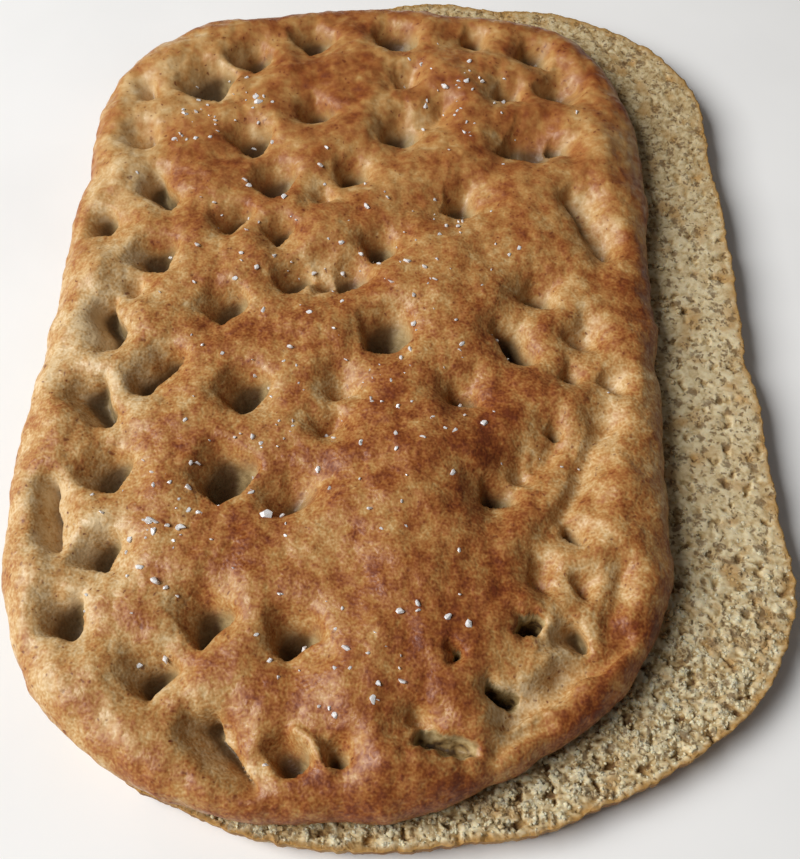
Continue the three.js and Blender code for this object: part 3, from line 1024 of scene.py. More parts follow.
@dataclass(frozen=True)
class TornCrumb:
    """Wholemeal crumb, pulled apart by hand.

    It gives the eye an open, matt web: pale grains a millimetre or two wide, brown with painted shade in the
    pores between them, with a golden line where the crust's edge shows.

    Attributes:
        name: The material's name.
        tones: Colours from the bottom of a pore to the tips of the grains, darker low down with painted
            shade.
        crust_tone: Colour of the crust's edge.
        tan: Colour of the patches that baked more.
        hollow: Painted shade inside the pores, which are a pattern with a bump, not holes.
        grain, mottle: Sizes of the fine grain and of the mottling.
        grain_tone, mottle_tone: How far each of them changes the colour.
        pores: Distances between the small and the large pores.
        bend: How far the pores are bent out of round.
        pore_ragged: How far the grain frays them.
        pore_edge, pore_cover: Shares of those distances between which they fade, and how dark their painted
            shade is.
        patch: Size of the tan patches.
        patch_edge, patch_cover: Noise between which they set in, and how fully.
        pits, bumps: Strengths and heights of the relief of the pores and of the grain.
        ior: Index of refraction of dry starch.
        roughness: How dull the crumb is.
        glow: Share of the light that scatters inside the thin walls of the crumb.
        glow_reach: How far red, green and blue light scatters there, in millimetres.
    """

    name: str = "wholemeal_crumb_torn"
    tones: tuple[tuple[float, str], ...] = (
        (0.0, "#684a2b"), (0.3, "#a98e60"), (0.6, "#cfbb92"), (1.0, "#e4d6b2"),
    )
    crust_tone: str = "#a87f43"
    tan: str = "#b58b50"
    hollow: str = "#6c5030"
    grain: float = 0.8
    mottle: float = 2.0
    grain_tone: float = 0.36
    mottle_tone: float = 0.4
    pores: Pair = (2.9, 5.6)
    bend: float = 5.0
    pore_ragged: float = 0.15
    pore_edge: Pair = (0.25, 0.42)
    pore_cover: float = 0.72
    patch: float = 8.0
    patch_edge: Pair = (0.54, 0.7)
    patch_cover: float = 0.7
    pits: Pair = (0.6, 0.5)
    bumps: Pair = (0.35, 0.3)
    ior: float = 1.4
    roughness: float = 0.9
    glow: float = 0.5
    glow_reach: tuple[float, float, float] = (1.4, 1.1, 0.7)

    def material(self) -> bpy.types.Material:
        """Builds the material.

        Returns:
            The material.
        """
        material, tree, shader, place = start_material(self.name)
        pore = add_node(tree, "Attribute", {"attribute_name": Mark.PORE.value}).outputs["Fac"]
        edge = add_node(tree, "Attribute", {"attribute_name": Mark.EDGE.value}).outputs["Fac"]
        grain, mottle, patch = (
            add_node(tree, "TexNoise", {}, {
                "Vector": place, "Scale": per_metre(size), "Detail": 1.5, "Roughness": 0.6,
            }).outputs["Fac"]
            for size in (self.grain, self.mottle, self.patch)
        )
        bent = bent_place(tree, place, self.mottle, self.bend)
        small, large = (
            add_node(tree, "Math", {"operation": "MULTIPLY_ADD"}, {
                0: grain, 1: self.pore_ragged,
                2: add_node(tree, "TexVoronoi", {}, {
                    "Vector": bent, "Scale": per_metre(size),
                }).outputs["Distance"],
            }).outputs[0]
            for size in self.pores
        )
        nearest = add_node(tree, "Math", {"operation": "MINIMUM"}, {0: small, 1: large}).outputs[0]
        # The pores' darkness is painted shade.
        hollows = add_node(tree, "MapRange", {}, {
            "Value": nearest, **between(self.pore_edge, (self.pore_cover, 0.0)),
        }).outputs["Result"]
        level = varied(tree, pore, ((grain, self.grain_tone), (mottle, self.mottle_tone)))
        colour = add_node(tree, "ValToRGB", {}, {"Fac": level}, self.tones).outputs["Color"]
        patches = add_node(tree, "MapRange", {}, {
            "Value": patch, **between(self.patch_edge, (0.0, self.patch_cover)),
        }).outputs["Result"]
        for share, tone in ((patches, self.tan), (hollows, self.hollow), (edge, self.crust_tone)):
            colour = add_node(tree, "Mix", {"data_type": "RGBA"}, {
                "Factor": share, MIX_UNDER: colour, MIX_OVER: linear(tone),
            }).outputs[MIX_OUT]
        pitted = add_node(tree, "Bump", {"invert": True}, {
            "Height": hollows, "Strength": self.pits[0], "Distance": self.pits[1] * MM,
        }).outputs["Normal"]
        bumped = add_node(tree, "Bump", {}, {
            "Height": grain, "Strength": self.bumps[0], "Distance": self.bumps[1] * MM, "Normal": pitted,
        }).outputs["Normal"]
        connect(tree, shader, {
            "Base Color": colour, "Normal": bumped, "IOR": self.ior, "Roughness": self.roughness,
            "Subsurface Weight": self.glow, "Subsurface Radius": self.glow_reach, "Subsurface Scale": MM,
        })
        return material


@dataclass(frozen=True)
class TrayCrust:
    """Wholemeal crust baked against a floured tray.

    It gives the eye a dull brown in broad patches, with a fine grain, made paler by flour.

    Attributes:
        name: The material's name.
        tones: Colours from floured to browned crust.
        patch, grain: Sizes of the browned patches and of the fine grain.
        grain_tone, flour: How far the grain changes the colour, and how much flour lightens it.
        bumps: Strength and height of the grain's relief.
        ior: Index of refraction of a dry crust.
        roughness: How dull the crust is.
    """

    name: str = "wholemeal_crust_tray_baked"
    tones: tuple[tuple[float, str], ...] = (
        (0.25, "#c9a566"), (0.45, "#a97b42"), (0.6, "#8f612f"), (0.8, "#6b431f"),
    )
    patch: float = 14.0
    grain: float = 1.2
    grain_tone: float = 0.35
    flour: float = 0.17
    bumps: Pair = (0.6, 0.3)
    ior: float = 1.45
    roughness: float = 0.75

    def material(self) -> bpy.types.Material:
        """Builds the material.

        Returns:
            The material.
        """
        material, tree, shader, place = start_material(self.name)
        patch, grain = (
            add_node(tree, "TexNoise", {}, {
                "Vector": place, "Scale": per_metre(size), "Detail": detail, "Roughness": 0.6,
            }).outputs["Fac"]
            for size, detail in ((self.patch, 5.0), (self.grain, 3.0))
        )
        grained = add_node(tree, "Math", {"operation": "MULTIPLY_ADD"}, {
            0: grain, 1: self.grain_tone, 2: patch,
        }).outputs[0]
        level = add_node(tree, "Math", {"operation": "SUBTRACT"}, {
            0: grained, 1: self.flour,
        }).outputs[0]
        colour = add_node(tree, "ValToRGB", {}, {"Fac": level}, self.tones).outputs["Color"]
        bumped = add_node(tree, "Bump", {}, {
            "Height": grain, "Strength": self.bumps[0], "Distance": self.bumps[1] * MM,
        }).outputs["Normal"]
        connect(tree, shader, {
            "Base Color": colour, "Normal": bumped, "IOR": self.ior, "Roughness": self.roughness,
        })
        return material


@dataclass(frozen=True)
class SeaSalt:
    """Coarse sea salt, crushed.

    It gives the eye bright, glassy chips that are cloudy inside.

    Attributes:
        name: The material's name.
        tones: Colours from clear to cloudy parts.
        cloud: Size of the cloudy parts.
        ior: Index of refraction of rock salt.
        roughness: How dull its broken faces are.
        clearness: Share of the light that passes through.
        cloudiness: Share of the light that scatters inside.
        cloud_reach: How far it scatters, in millimetres.
    """

    name: str = "sea_salt_crushed"
    tones: tuple[tuple[float, str], ...] = ((0.3, "#f4ede6"), (0.7, "#ffffff"))
    cloud: float = 0.9
    ior: float = 1.544
    roughness: float = 0.2
    clearness: float = 0.12
    cloudiness: float = 0.6
    cloud_reach: float = 1.2

    def material(self) -> bpy.types.Material:
        """Builds the material.

        Returns:
            The material.
        """
        material, tree, shader, place = start_material(self.name)
        cloud = add_node(tree, "TexNoise", {}, {
            "Vector": place, "Scale": per_metre(self.cloud), "Detail": 2.0,
        }).outputs["Fac"]
        colour = add_node(tree, "ValToRGB", {}, {"Fac": cloud}, self.tones).outputs["Color"]
        connect(tree, shader, {
            "Base Color": colour, "IOR": self.ior, "Roughness": self.roughness,
            "Transmission Weight": self.clearness, "Subsurface Weight": self.cloudiness,
            "Subsurface Radius": [self.cloud_reach] * 3, "Subsurface Scale": MM,
        })
        return material


@dataclass(frozen=True)
class PaleBoard:
    """Matt white board.

    It gives the eye a plain, even ground with the faintest mottling.

    Attributes:
        name: The material's name.
        tones: Colours of the mottling.
        mottle: Its size.
        roughness: How dull the board is.
    """

    name: str = "white_board_matt"
    tones: tuple[tuple[float, str], ...] = ((0.35, "#f3f2f0"), (0.65, "#f7f6f4"))
    mottle: float = 60.0
    roughness: float = 0.9

    def material(self) -> bpy.types.Material:
        """Builds the material.

        Returns:
            The material.
        """
        material, tree, shader, place = start_material(self.name)
        mottle = add_node(tree, "TexNoise", {}, {
            "Vector": place, "Scale": per_metre(self.mottle), "Detail": 3.0,
        }).outputs["Fac"]
        colour = add_node(tree, "ValToRGB", {}, {"Fac": mottle}, self.tones).outputs["Color"]
        connect(tree, shader, {"Base Color": colour, "Roughness": self.roughness})
        return material


@dataclass
class TopHalf:
    """The dimpled upper half: crust over a rounded rim, and the cut face under it.

    Attributes:
        across, along: How many faces the crust inside the rim has each way.
        band_rings: Rings of faces over the rim's rounding.
        wall_rings: Rings of faces from the rim's widest part down to the cut.
        undercut: How far the wall comes in at the cut.
        face_rings: Distances in from the cut edge of the rings under the rim.
        cut_relief: Height and size of the crumb on the cut face.
        cut_tone, cut_shade: How pale the cut face is, and how much darker it is, as painted shade, for each
        millimetre up in a pore.
        edge_tone: How pale the cut edge is.
        lumps, wrinkles, crags: Heights and sizes of the crust's lumps and wrinkles and of its tears' crumb.
        wrinkle_bend, wrinkle_stretch: How far the lumps bend the wrinkles, and how these run along the loaf.
        wrinkle_middle: The level that they rise and fall around.
        smoothed, smoothed_depths: How much smoother a dimple is, and the depths between which it gets so.
        crag_depths: Depths of a tear between which its crumb gets rough.
        browned, paler: How far the pillows are baked, and how much less the crust around the dimples.
        patches: Strengths and sizes of the broad and of the small patches that differ.
        bake_and_shading_zones: Places where the crust is darker or paler: partly where the oven baked it more
            or less, partly painted
            shade and painted light: across, along, reach, amount.
        lip_depths: Depths of a tear between which it stops leaning under its lip.
        dimple_depths, pale_lit_depths: Depths between which the mark of a dimple's painted shade and the mark
            of
        its pale right side, partly painted light, rise to 1.
        stipple, stipple_run: How strong the fine stipple is at the front and at the back, and between where.
        deepest_tear: How deep a tear is where its mark is 1.
    """

    across: int = 200
    along: int = 322
    band_rings: int = 18
    wall_rings: int = 4
    undercut: float = 1.4
    face_rings: tuple[float, ...] = (0.8, 2.0, 4.0, 7.0, 12.0, 20.0)
    cut_relief: Pair = (1.2, 3.0)
    cut_tone: float = 0.7
    cut_shade: float = 0.5
    edge_tone: float = 0.6
    lumps: Pair = (0.75, 13.0)
    wrinkles: Pair = (0.32, 5.2)
    crags: Pair = (0.6, 2.8)
    wrinkle_bend: float = 1.5
    wrinkle_stretch: float = 0.8
    wrinkle_middle: float = 0.75
    smoothed: float = 0.5
    smoothed_depths: Pair = (1.0, 5.0)
    crag_depths: Pair = (1.0, 3.0)
    browned: float = 0.64
    paler: float = 0.28
    patches: tuple[Pair, Pair] = ((0.14, 34.0), (0.15, 10.0))
    bake_and_shading_zones: tuple[tuple[float, float, float, float], ...] = (
        (45, -45, 34, 0.1), (20, -95, 42, 0.06), (0, 100, 70, 0.05),
        (-95, -60, 36, -0.28), (-94, -8, 34, -0.42), (-72, -122, 42, -0.32), (-74, 97, 30, -0.28),
        (90, -30, 22, -0.2), (86, -72, 20, -0.18), (0, -155, 30, -0.03),
        (33, -118, 15, 0.3), (48, -75, 16, 0.12), (58, -112, 12, -0.46), (83, -99, 10, 0.42),
        (20, -68, 16, -0.18), (42, 36, 32, -0.16), (8, 53, 10, -0.14), (58, 88, 14, 0.2),
        (-32, -80, 16, 0.14), (-86, -40, 9, 0.3), (-82, 56, 14, -0.26), (34, 118, 10, -0.22),
        (88, 80, 12, -0.22), (74, 10, 9, -0.22), (5, 16, 10, 0.2), (-2, -82, 12, -0.18),
        (-22, -118, 14, 0.2), (8, -140, 20, 0.16), (72, -98, 8, -0.18), (80, -110, 9, 0.22),
        (49, -121, 8, -0.34), (8, 55, 9, -0.14), (71, -124, 8, 0.24), (58, -133, 8, 0.24),
    )
    lip_depths: Pair = (0.0, 2.0)
    dimple_depths: Pair = (0.8, 8.0)
    pale_lit_depths: Pair = (0.5, 4.0)
    stipple: Pair = (1.4, 0.15)
    stipple_run: Pair = (-20, 120)
    deepest_tear: float = 10.0

    def columns(self) -> np.ndarray:
        """Picks the outline points that the faces start from, counter-clockwise from the front left corner.

        Returns:
            As many points as the crust's inner field has around its edge.
        """
        ring = TOP_OUTLINE.ring()
        middle, half = (ring.max(0) + ring.min(0)) / 2, (ring.max(0) - ring.min(0)) / 2
        signs = np.array([(-1, -1), (1, -1), (1, 1), (-1, 1)])
        starts = [int(np.argmax(((ring - middle) / half) @ sign)) for sign in signs]
        sides = []
        for side, start in enumerate(starts):
            run = (starts[(side + 1) % 4] - start) % len(ring)
            part = ring[(start + np.arange(run + 1)) % len(ring)]
            cells = self.along if side % 2 else self.across
            sides.append(resampled(part, np.arange(cells) / cells))
        return np.concatenate(sides)

    def inner_field(self, ring: np.ndarray) -> tuple[np.ndarray, np.ndarray, np.ndarray]:
        """Fills a ring with a field of points, `across` by `along` faces.

        Args:
            ring: The ring's points, counter-clockwise from its front left corner.

        Returns:
            The field's points, row by row from the front, the numbers of those on the ring, in its order,
            and how near each point is to the ring, from 0 to 1.
        """
        columns, rows = np.meshgrid(np.linspace(-1, 1, self.across + 1), np.linspace(-1, 1, self.along + 1))
        reach = np.maximum(np.abs(columns), np.abs(rows))
        safe = np.maximum(reach, 1e-9)
        u, v = columns / safe, rows / safe
        on_front, on_back = rows <= -reach + 1e-9, rows >= reach - 1e-9
        share = np.select(
            [on_front, on_back, u > 0],
            [
                (u + 1) / 2 * self.across,
                self.across + self.along + (1 - u) / 2 * self.across,
                self.across + (v + 1) / 2 * self.along,
            ],
            2 * self.across + self.along + (1 - v) / 2 * self.along,
        )
        closed = np.concatenate([ring, ring[:1]])
        number = np.arange(len(closed))
        middle = ring.mean(0)
        points = [
            middle[i] + reach * (np.interp(share, number, closed[:, i]) - middle[i]) for i in (0, 1)
        ]
        order = np.arange(columns.size).reshape(columns.shape)
        edge = np.concatenate([order[0, :-1], order[:-1, -1], order[-1, :0:-1], order[:0:-1, 0]])
        return np.stack(points, axis=-1).reshape(-1, 2), edge, reach.ravel() ** 12

    def rim_profile(self) -> tuple[np.ndarray, np.ndarray, np.ndarray]:
        """Works out the rings over the rim, evenly spaced over its curve, from the inner field outwards.

        Returns:
            Each ring's angle from the crest down, its inset from the outline and its distance along the skin.
        """
        fine = np.linspace(0, np.pi / 2, 400)
        rise = DOUGH.crest - DOUGH.equator
        speed = np.hypot(DOUGH.rounding * np.cos(fine), rise * np.sin(fine))
        along = np.concatenate(([0], np.cumsum((speed[1:] + speed[:-1]) / 2 * np.diff(fine))))
        steps = np.linspace(0, along[-1], self.band_rings + 1)[1:]
        angle = np.interp(steps, along, fine)
        return angle, DOUGH.rounding * (1 - np.sin(angle)), steps

    def crust_points(self) -> tuple[np.ndarray, np.ndarray, np.ndarray, np.ndarray, np.ndarray]:
        """Lays out the smooth skin of the crust, without its fine relief.

        Returns:
            Points in plan with their heights, the directions out of the skin, each point's place on the skin
            laid flat, its distance from the outline, and the numbers of the inner field's edge.
        """
        columns = self.columns()
        inwards = inward_normals(columns)
        inner = columns + DOUGH.rounding * inwards
        plan, edge, hold = self.inner_field(inner)
        plan = DOUGH.gathered(plan, hold)
        angle, inset, skin = self.rim_profile()
        fall = np.arange(1, self.wall_rings + 1) / self.wall_rings
        wall_inset = self.undercut * fall**2
        wall_skin = skin[-1] + DOUGH.equator * fall
        insets = np.concatenate([inset, wall_inset])
        rings = columns[None] + insets[:, None, None] * inwards[None]
        flat_rings = inner[None] - np.concatenate([skin, wall_skin])[:, None, None] * inwards[None]
        depth = np.concatenate([np.full(len(plan), DOUGH.rounding), np.repeat(inset, len(columns))])
        shown = np.concatenate([plan, rings[: self.band_rings].reshape(-1, 2)])
        height = DOUGH.height(shown[:, 0], shown[:, 1], depth)
        wall_height = np.repeat(DOUGH.cut + DOUGH.equator * (1 - fall), len(columns))
        points = np.column_stack([
            np.concatenate([plan, rings.reshape(-1, 2)]), np.concatenate([height, wall_height]),
        ])
        rise = DOUGH.crest - DOUGH.equator
        tilt = np.concatenate([
            np.arctan2(np.sin(angle) / DOUGH.rounding, np.cos(angle) / rise),
            np.full(self.wall_rings, np.pi / 2),
        ])
        out = np.concatenate([
            np.tile([0.0, 0.0, 1.0], (len(plan), 1)),
            np.column_stack([
                (-inwards[None] * np.sin(tilt)[:, None, None]).reshape(-1, 2),
                np.repeat(np.cos(tilt), len(columns)),
            ]),
        ])
        flat = np.concatenate([plan, flat_rings.reshape(-1, 2)])
        distance = np.concatenate([depth, np.zeros(self.wall_rings * len(columns))])
        return points, out, flat, distance, edge

    def relief(self, flat: np.ndarray, pressed: Pressed) -> np.ndarray:
        """Works out the fine relief of the crust: lumps, wrinkles and the crumb in the tears.

        Args:
            flat: Places on the skin laid flat.
            pressed: What the presses did there.

        Returns:
            The height of the relief at each place.
        """
        x, y = flat.T
        (lump, lump_size), (wrinkle, wrinkle_size), (crag, crag_size) = self.lumps, self.wrinkles, self.crags
        lumps = Noise(11).layered(x, y, lump_size, 3)
        bent = x + self.wrinkle_bend * lumps
        ridges = 1 - np.abs(Noise(17).layered(bent, self.wrinkle_stretch * y, wrinkle_size, 2))
        skin = lump * lumps + wrinkle * (ridges - self.wrinkle_middle)
        skin *= 1 - self.smoothed * eased(pressed.depth, *self.smoothed_depths)
        return skin + crag * Noise(23).layered(x, y, crag_size, 2) * eased(pressed.torn, *self.crag_depths)

    def bake_and_shading(self, points: np.ndarray, flat: np.ndarray, sinking: np.ndarray) -> np.ndarray:
        """Works out how dark the crust is: how far the oven browned it, with painted shade and painted light
        in places.

        Args:
            points: The crust's points.
            flat: Their places on the skin laid flat.
            sinking: How far the crust has sunk around the dimples.

        Returns:
            From 0, pale dough, to 1, the darkest crust.
        """
        x, y = points[:, 0], points[:, 1]
        (broad, broad_size), (small, small_size) = self.patches
        level = self.browned - self.paler * sinking
        # Some of these places are painted shade and painted light, not only browning.
        for at_x, at_y, reach, amount in self.bake_and_shading_zones:
            level += amount * np.exp(-((x - at_x) ** 2 + (y - at_y) ** 2) / reach**2)
        level += broad * Noise(31).layered(*flat.T, broad_size, 2)
        level += small * Noise(37).layered(*flat.T, small_size, 3)
        return level

    def build(self, crust: bpy.types.Material, crumb: bpy.types.Material) -> bpy.types.Object:
        """Builds and dresses the half.

        Args:
            crust: The baked crust.
            crumb: The torn crumb of its cut face.

        Returns:
            The piece.
        """
        points, out, flat, distance, edge = self.crust_points()
        pressed = DOUGH.pressed(points[:, 0], points[:, 1])
        inside = np.minimum(distance / DOUGH.rounding, 1)
        bake_and_shading = self.bake_and_shading(points, flat, pressed.sinking)
        points = points + out * self.relief(flat, pressed)[:, None]
        whole = np.maximum(pressed.depth, 0) * (1 - eased(pressed.torn, *self.lip_depths))
        points[:, :2] += (DOUGH.undercut * whole * inside)[:, None] * pressed.lean
        around = 2 * (self.across + self.along)
        field_size = (self.across + 1) * (self.along + 1)
        order = np.arange(field_size).reshape(self.along + 1, self.across + 1)
        field_faces = np.stack(
            [order[:-1, :-1], order[:-1, 1:], order[1:, 1:], order[1:, :-1]], axis=-1
        ).reshape(-1, 4)
        ring_count = self.band_rings + self.wall_rings
        rings = np.concatenate([edge[None], field_size + np.arange(ring_count * around).reshape(-1, around)])
        under = self.cut_face(points[rings[-1]])
        hub = len(points) + len(under) - 1
        under_rings = np.concatenate([rings[-1:], np.arange(len(points), hub).reshape(-1, around)])
        front, back = self.stipple
        stipple = front + (back - front) * eased(points[:, 1], *self.stipple_run)
        # Painted shade: the cut face darkens up into its pores.
        cut_tone = self.cut_tone - self.cut_shade * (under[:, 2] - DOUGH.cut)
        blank = np.zeros(len(under))
        on_crust = {
            Mark.BAKE_AND_SHADING: bake_and_shading,
            # The dimple mark drives the painted shade at the bottom of the dimples.
            Mark.DIMPLE: inside * eased(pressed.hollow, *self.dimple_depths),
            # The pale right sides of the dimples are partly painted light.
            Mark.PALE_AND_LIT: inside * eased(pressed.pale_and_lit, *self.pale_lit_depths),
            Mark.TORN: inside * pressed.torn / self.deepest_tear,
            Mark.STIPPLE: stipple,
        }
        marks = {mark: np.concatenate([values, blank]) for mark, values in on_crust.items()}
        marks[Mark.PORE] = np.concatenate([np.full(len(points), self.edge_tone), cut_tone])
        faces = [
            (field_faces, 0),
            (ring_faces(rings), 0),
            (ring_faces(under_rings), 1),
            (fan_faces(under_rings[-1], hub), 1),
        ]
        return make_piece("focaccia_top", np.concatenate([points, under]), faces, [crust, crumb], marks)

    def cut_face(self, cut_edge: np.ndarray) -> np.ndarray:
        """Lays out the cut face under the rim, with crumb relief that rises into the half.

        Args:
            cut_edge: Points of the edge where the wall ends.

        Returns:
            The points of each ring inwards, then one in the middle.
        """
        inwards = inward_normals(cut_edge[:, :2])
        insets = np.array(self.face_rings)[:, None, None]
        plan = (cut_edge[None, :, :2] + insets * inwards[None]).reshape(-1, 2)
        height, size = self.cut_relief
        rough = 0.5 + 0.5 * Noise(41).layered(*plan.T, size, 3)
        points = np.column_stack([plan, DOUGH.cut + height * np.clip(rough, 0, 1)])
        return np.concatenate([points, [[*points[:, :2].mean(0), DOUGH.cut + height / 2]]])


@dataclass
class BaseHalf:
    """The lower half: torn crumb inside a thin crust edge, a brown side and a flat sole.

    Attributes:
        thickness: Height of the crumb over the table.
        shown_step, hidden_step: Distance between columns where the crumb shows and where the top hides it.
        rings: Rings of faces over the crumb that shows.
        cover: How far the fine crumb goes on under the top.
        least_width: Least width of the fine crumb.
        shown_from: Distances beyond the top's edge between which the columns get closer.
        middle: The place that the rings go towards.
        warp: How far the lobes of the crumb are warped, and the size of the warps.
        lobes: Heights and sizes of the lobes, from coarse to fine.
        lobe_rise, lobe_tops: How far the lobes rise, and the heights between which they get pale: painted
            light
        on their tops and painted shade between them.
        swell: Height and size of the broad swelling of the crumb.
        pore_size, pore_edge: Size of the pores, and noise between which they set in.
        pore_run, pore_loss: Between where along the loaf they grow shallower, and how much.
        pore_depth: How deep a pore is in closed crumb, and how much deeper in open crumb.
        pore_shade: How much darker a pore is: painted shade.
        deepest: The most that the crumb is torn down.
        pale, contrast: Tone of closed crumb, and the least share of the lobes' contrast that it keeps.
        back_shade, back_run: How much darker the back is, a painted shadow of the top, and between where that
            sets in.
        closed, open_run: How open the crumb is at the back, and between where it opens towards the front.
        ragged, ragged_size: How far the outline wanders, and over what distance.
        rim_width: Distances from the edge between which the crust that shows there ends.
        rim_wander, rim_size: How far that end wanders, and over what distance.
        rim_gold, rim_smooth: How golden the crust's edge is, and how much smoother than the crumb.
        glow, glow_width: How golden the crumb beside it is in places, and between where that fades.
        glow_edge: Noise between which that sets in.
        sway, sway_size: How far the crumb is jostled sideways, and over what distance.
        side_count: Rings of faces down the side.
        side_lumps: Height and size of the side's lumps.
        bulge, foot, sole: Insets and heights of the side where it is widest, at its foot and at the sole.
    """

    thickness: float = 10
    shown_step: float = 0.62
    hidden_step: float = 2.0
    rings: int = 68
    cover: float = 5
    least_width: float = 12
    shown_from: Pair = (-6, -1)
    middle: Place = (12.0, 0.0)
    warp: Pair = (0.9, 4.0)
    lobes: tuple[Pair, Pair, Pair] = ((0.9, 4.2), (0.9, 2.4), (0.5, 1.5))
    lobe_rise: float = 1.5
    lobe_tops: Pair = (-0.2, 1.2)
    swell: Pair = (0.5, 22.0)
    pore_size: float = 4.4
    pore_edge: Pair = (0.28, 0.75)
    pore_run: Pair = (0, 90)
    pore_loss: float = 0.5
    pore_depth: Pair = (0.7, 0.8)
    pore_shade: float = 0.4
    deepest: float = 5.0
    pale: float = 0.69
    contrast: float = 0.4
    back_shade: float = 0.18
    back_run: Pair = (20, 120)
    closed: float = 0.2
    open_run: Pair = (40, 125)
    ragged: float = 0.6
    ragged_size: float = 4.0
    rim_width: Pair = (0.2, 2.4)
    rim_wander: float = 1.7
    rim_size: float = 4.0
    rim_gold: float = 0.9
    rim_smooth: float = 0.6
    glow: float = 0.5
    glow_width: Pair = (1.0, 8.0)
    glow_edge: Pair = (-0.1, 0.5)
    sway: float = 0.3
    sway_size: float = 1.3
    side_count: int = 9
    side_lumps: Pair = (0.25, 8.0)
    bulge: Pair = (0.1, 6.2)
    foot: Pair = (0.8, 2.2)
    sole: Pair = (4.5, 0.0)

    def columns(self) -> tuple[np.ndarray, np.ndarray, np.ndarray]:
        """Picks points around the base's outline and how far the fine crumb goes in from each.

        Returns:
            The outline's points, the points where the fine crumb ends, and the middle that it goes towards.
        """
        ring, middle = base_ring(), np.array(self.middle)
        arm = ring - middle
        turn, reach = np.arctan2(arm[:, 1], arm[:, 0]), np.hypot(*arm.T)
        lid_reach = reach_of(TOP_OUTLINE.ring(), middle, turn)
        shows = eased(reach - lid_reach, *self.shown_from)
        density = shows / self.shown_step + (1 - shows) / self.hidden_step
        run = np.hypot(*(np.roll(ring, -1, axis=0) - ring).T)
        along = np.concatenate(([0], np.cumsum(run * density)))
        count = int(along[-1])
        number = np.interp(np.arange(count) * along[-1] / count, along, np.arange(len(along)))
        closed = np.concatenate([np.column_stack([ring, lid_reach]), [[*ring[0], lid_reach[0]]]])
        picked = np.column_stack([np.interp(number, np.arange(len(closed)), closed[:, i]) for i in range(3)])
        arm = picked[:, :2] - middle
        reach = np.hypot(*arm.T)
        ends = np.minimum(picked[:, 2] - self.cover, reach - self.least_width)
        return picked[:, :2], middle + arm * (ends / reach)[:, None], middle

    def crumb(self, x: np.ndarray, y: np.ndarray) -> tuple[np.ndarray, np.ndarray]:
        """Works out the torn crumb.

        Args:
            x: Places across.
            y: Places along.

        Returns:
            How far the crumb lies below the base's thickness, and its tone, from 0, a pore, to 1, a tip,
            which holds painted shade in the pores and between the lobes, and the top's painted shadow at the
            back.
        """
        (warp, warp_size), (swell, swell_size) = self.warp, self.swell
        (coarse, coarse_size), (medium, medium_size), (fine, fine_size) = self.lobes
        warp_x = x + warp * Noise(51).layered(x, y, warp_size, 2)
        warp_y = y + warp * Noise(57).layered(x, y, warp_size, 2)
        lobes = coarse * np.abs(Noise(61).smooth(warp_x, warp_y, coarse_size))
        lobes += medium * np.abs(Noise(67).smooth(warp_x, warp_y, medium_size))
        lobes += fine * np.abs(Noise(71).smooth(x, y, fine_size))
        openness = self.openness(y)
        pores = eased(Noise(75).layered(warp_x, warp_y, self.pore_size, 2), *self.pore_edge)
        pores *= 1 - self.pore_loss * eased(y, *self.pore_run)
        sunk = (self.lobe_rise - lobes + swell * Noise(79).layered(x, y, swell_size, 2)) * openness
        sunk += (self.pore_depth[0] + self.pore_depth[1] * openness) * pores
        # Painted shade: pale lobe tops, darker pores and gaps, and the top's painted shadow at the back.
        level = (eased(lobes, *self.lobe_tops) - self.pale) * (self.contrast + (1 - self.contrast) * openness)
        level += self.pale - self.pore_shade * pores - self.back_shade * eased(y, *self.back_run)
        return np.clip(sunk, 0.0, self.deepest), level

    def openness(self, y: np.ndarray) -> np.ndarray:
        """Gives how open the crumb was torn, which grows towards the front, up to 1."""
        return self.closed + (1 - self.closed) * eased(-y, *self.open_run)

    def build(self, crumb: bpy.types.Material, crust: bpy.types.Material) -> bpy.types.Object:
        """Builds and dresses the half.

        Args:
            crumb: The torn crumb.
            crust: The tray-baked crust of its side and sole.

        Returns:
            The piece.
        """
        outline, ends, middle = self.columns()
        inwards = inward_normals(outline)
        wander = self.ragged * Noise(103).layered(*outline.T, self.ragged_size, 3)
        outline = outline + wander[:, None] * inwards
        around = len(outline)
        shares = np.linspace(1, 0, self.rings + 1)
        plan = (outline[None] + shares[:, None, None] * (ends - outline)[None]).reshape(-1, 2)
        x, y = plan.T
        sunk, pore = self.crumb(x, y)
        edge = distance_to_ring(x, y, outline[::2])
        wander = Noise(83).layered(x, y, self.rim_size, 2)
        rim = 1 - eased(edge, self.rim_width[0], self.rim_width[1] + self.rim_wander * wander)
        beside = (1 - eased(edge, *self.glow_width)) * eased(wander, *self.glow_edge)
        golden = np.maximum(self.rim_gold * rim, self.glow * beside)
        sway = self.sway * (1 - rim)
        jostled = np.column_stack([
            x + sway * Noise(89).smooth(x, y, self.sway_size),
            y + sway * Noise(97).smooth(x, y, self.sway_size),
            self.thickness - sunk * (1 - self.rim_smooth * rim),
        ])
        side = self.side_rings(outline, inwards, jostled[-around:, 2])
        hub_top = len(jostled) + len(side)
        points = np.concatenate([jostled, side, [[*middle, self.thickness - 1]], [[*middle, 0]]])
        top_rings = np.arange(len(jostled)).reshape(-1, around)
        side_rings = np.concatenate([top_rings[-1:], len(jostled) + np.arange(len(side)).reshape(-1, around)])
        blank = np.zeros(len(points) - len(jostled))
        marks = {
            Mark.PORE: np.concatenate([pore, blank + 0.5]),
            Mark.EDGE: np.concatenate([golden, blank]),
        }
        faces = [
            (fan_faces(top_rings[0], hub_top)[:, [0, 2, 1]], 0),
            (ring_faces(top_rings), 0),
            (ring_faces(side_rings), 1),
            (fan_faces(side_rings[-1], hub_top + 1), 1),
        ]
        return make_piece("focaccia_base", points, faces, [crumb, crust], marks)

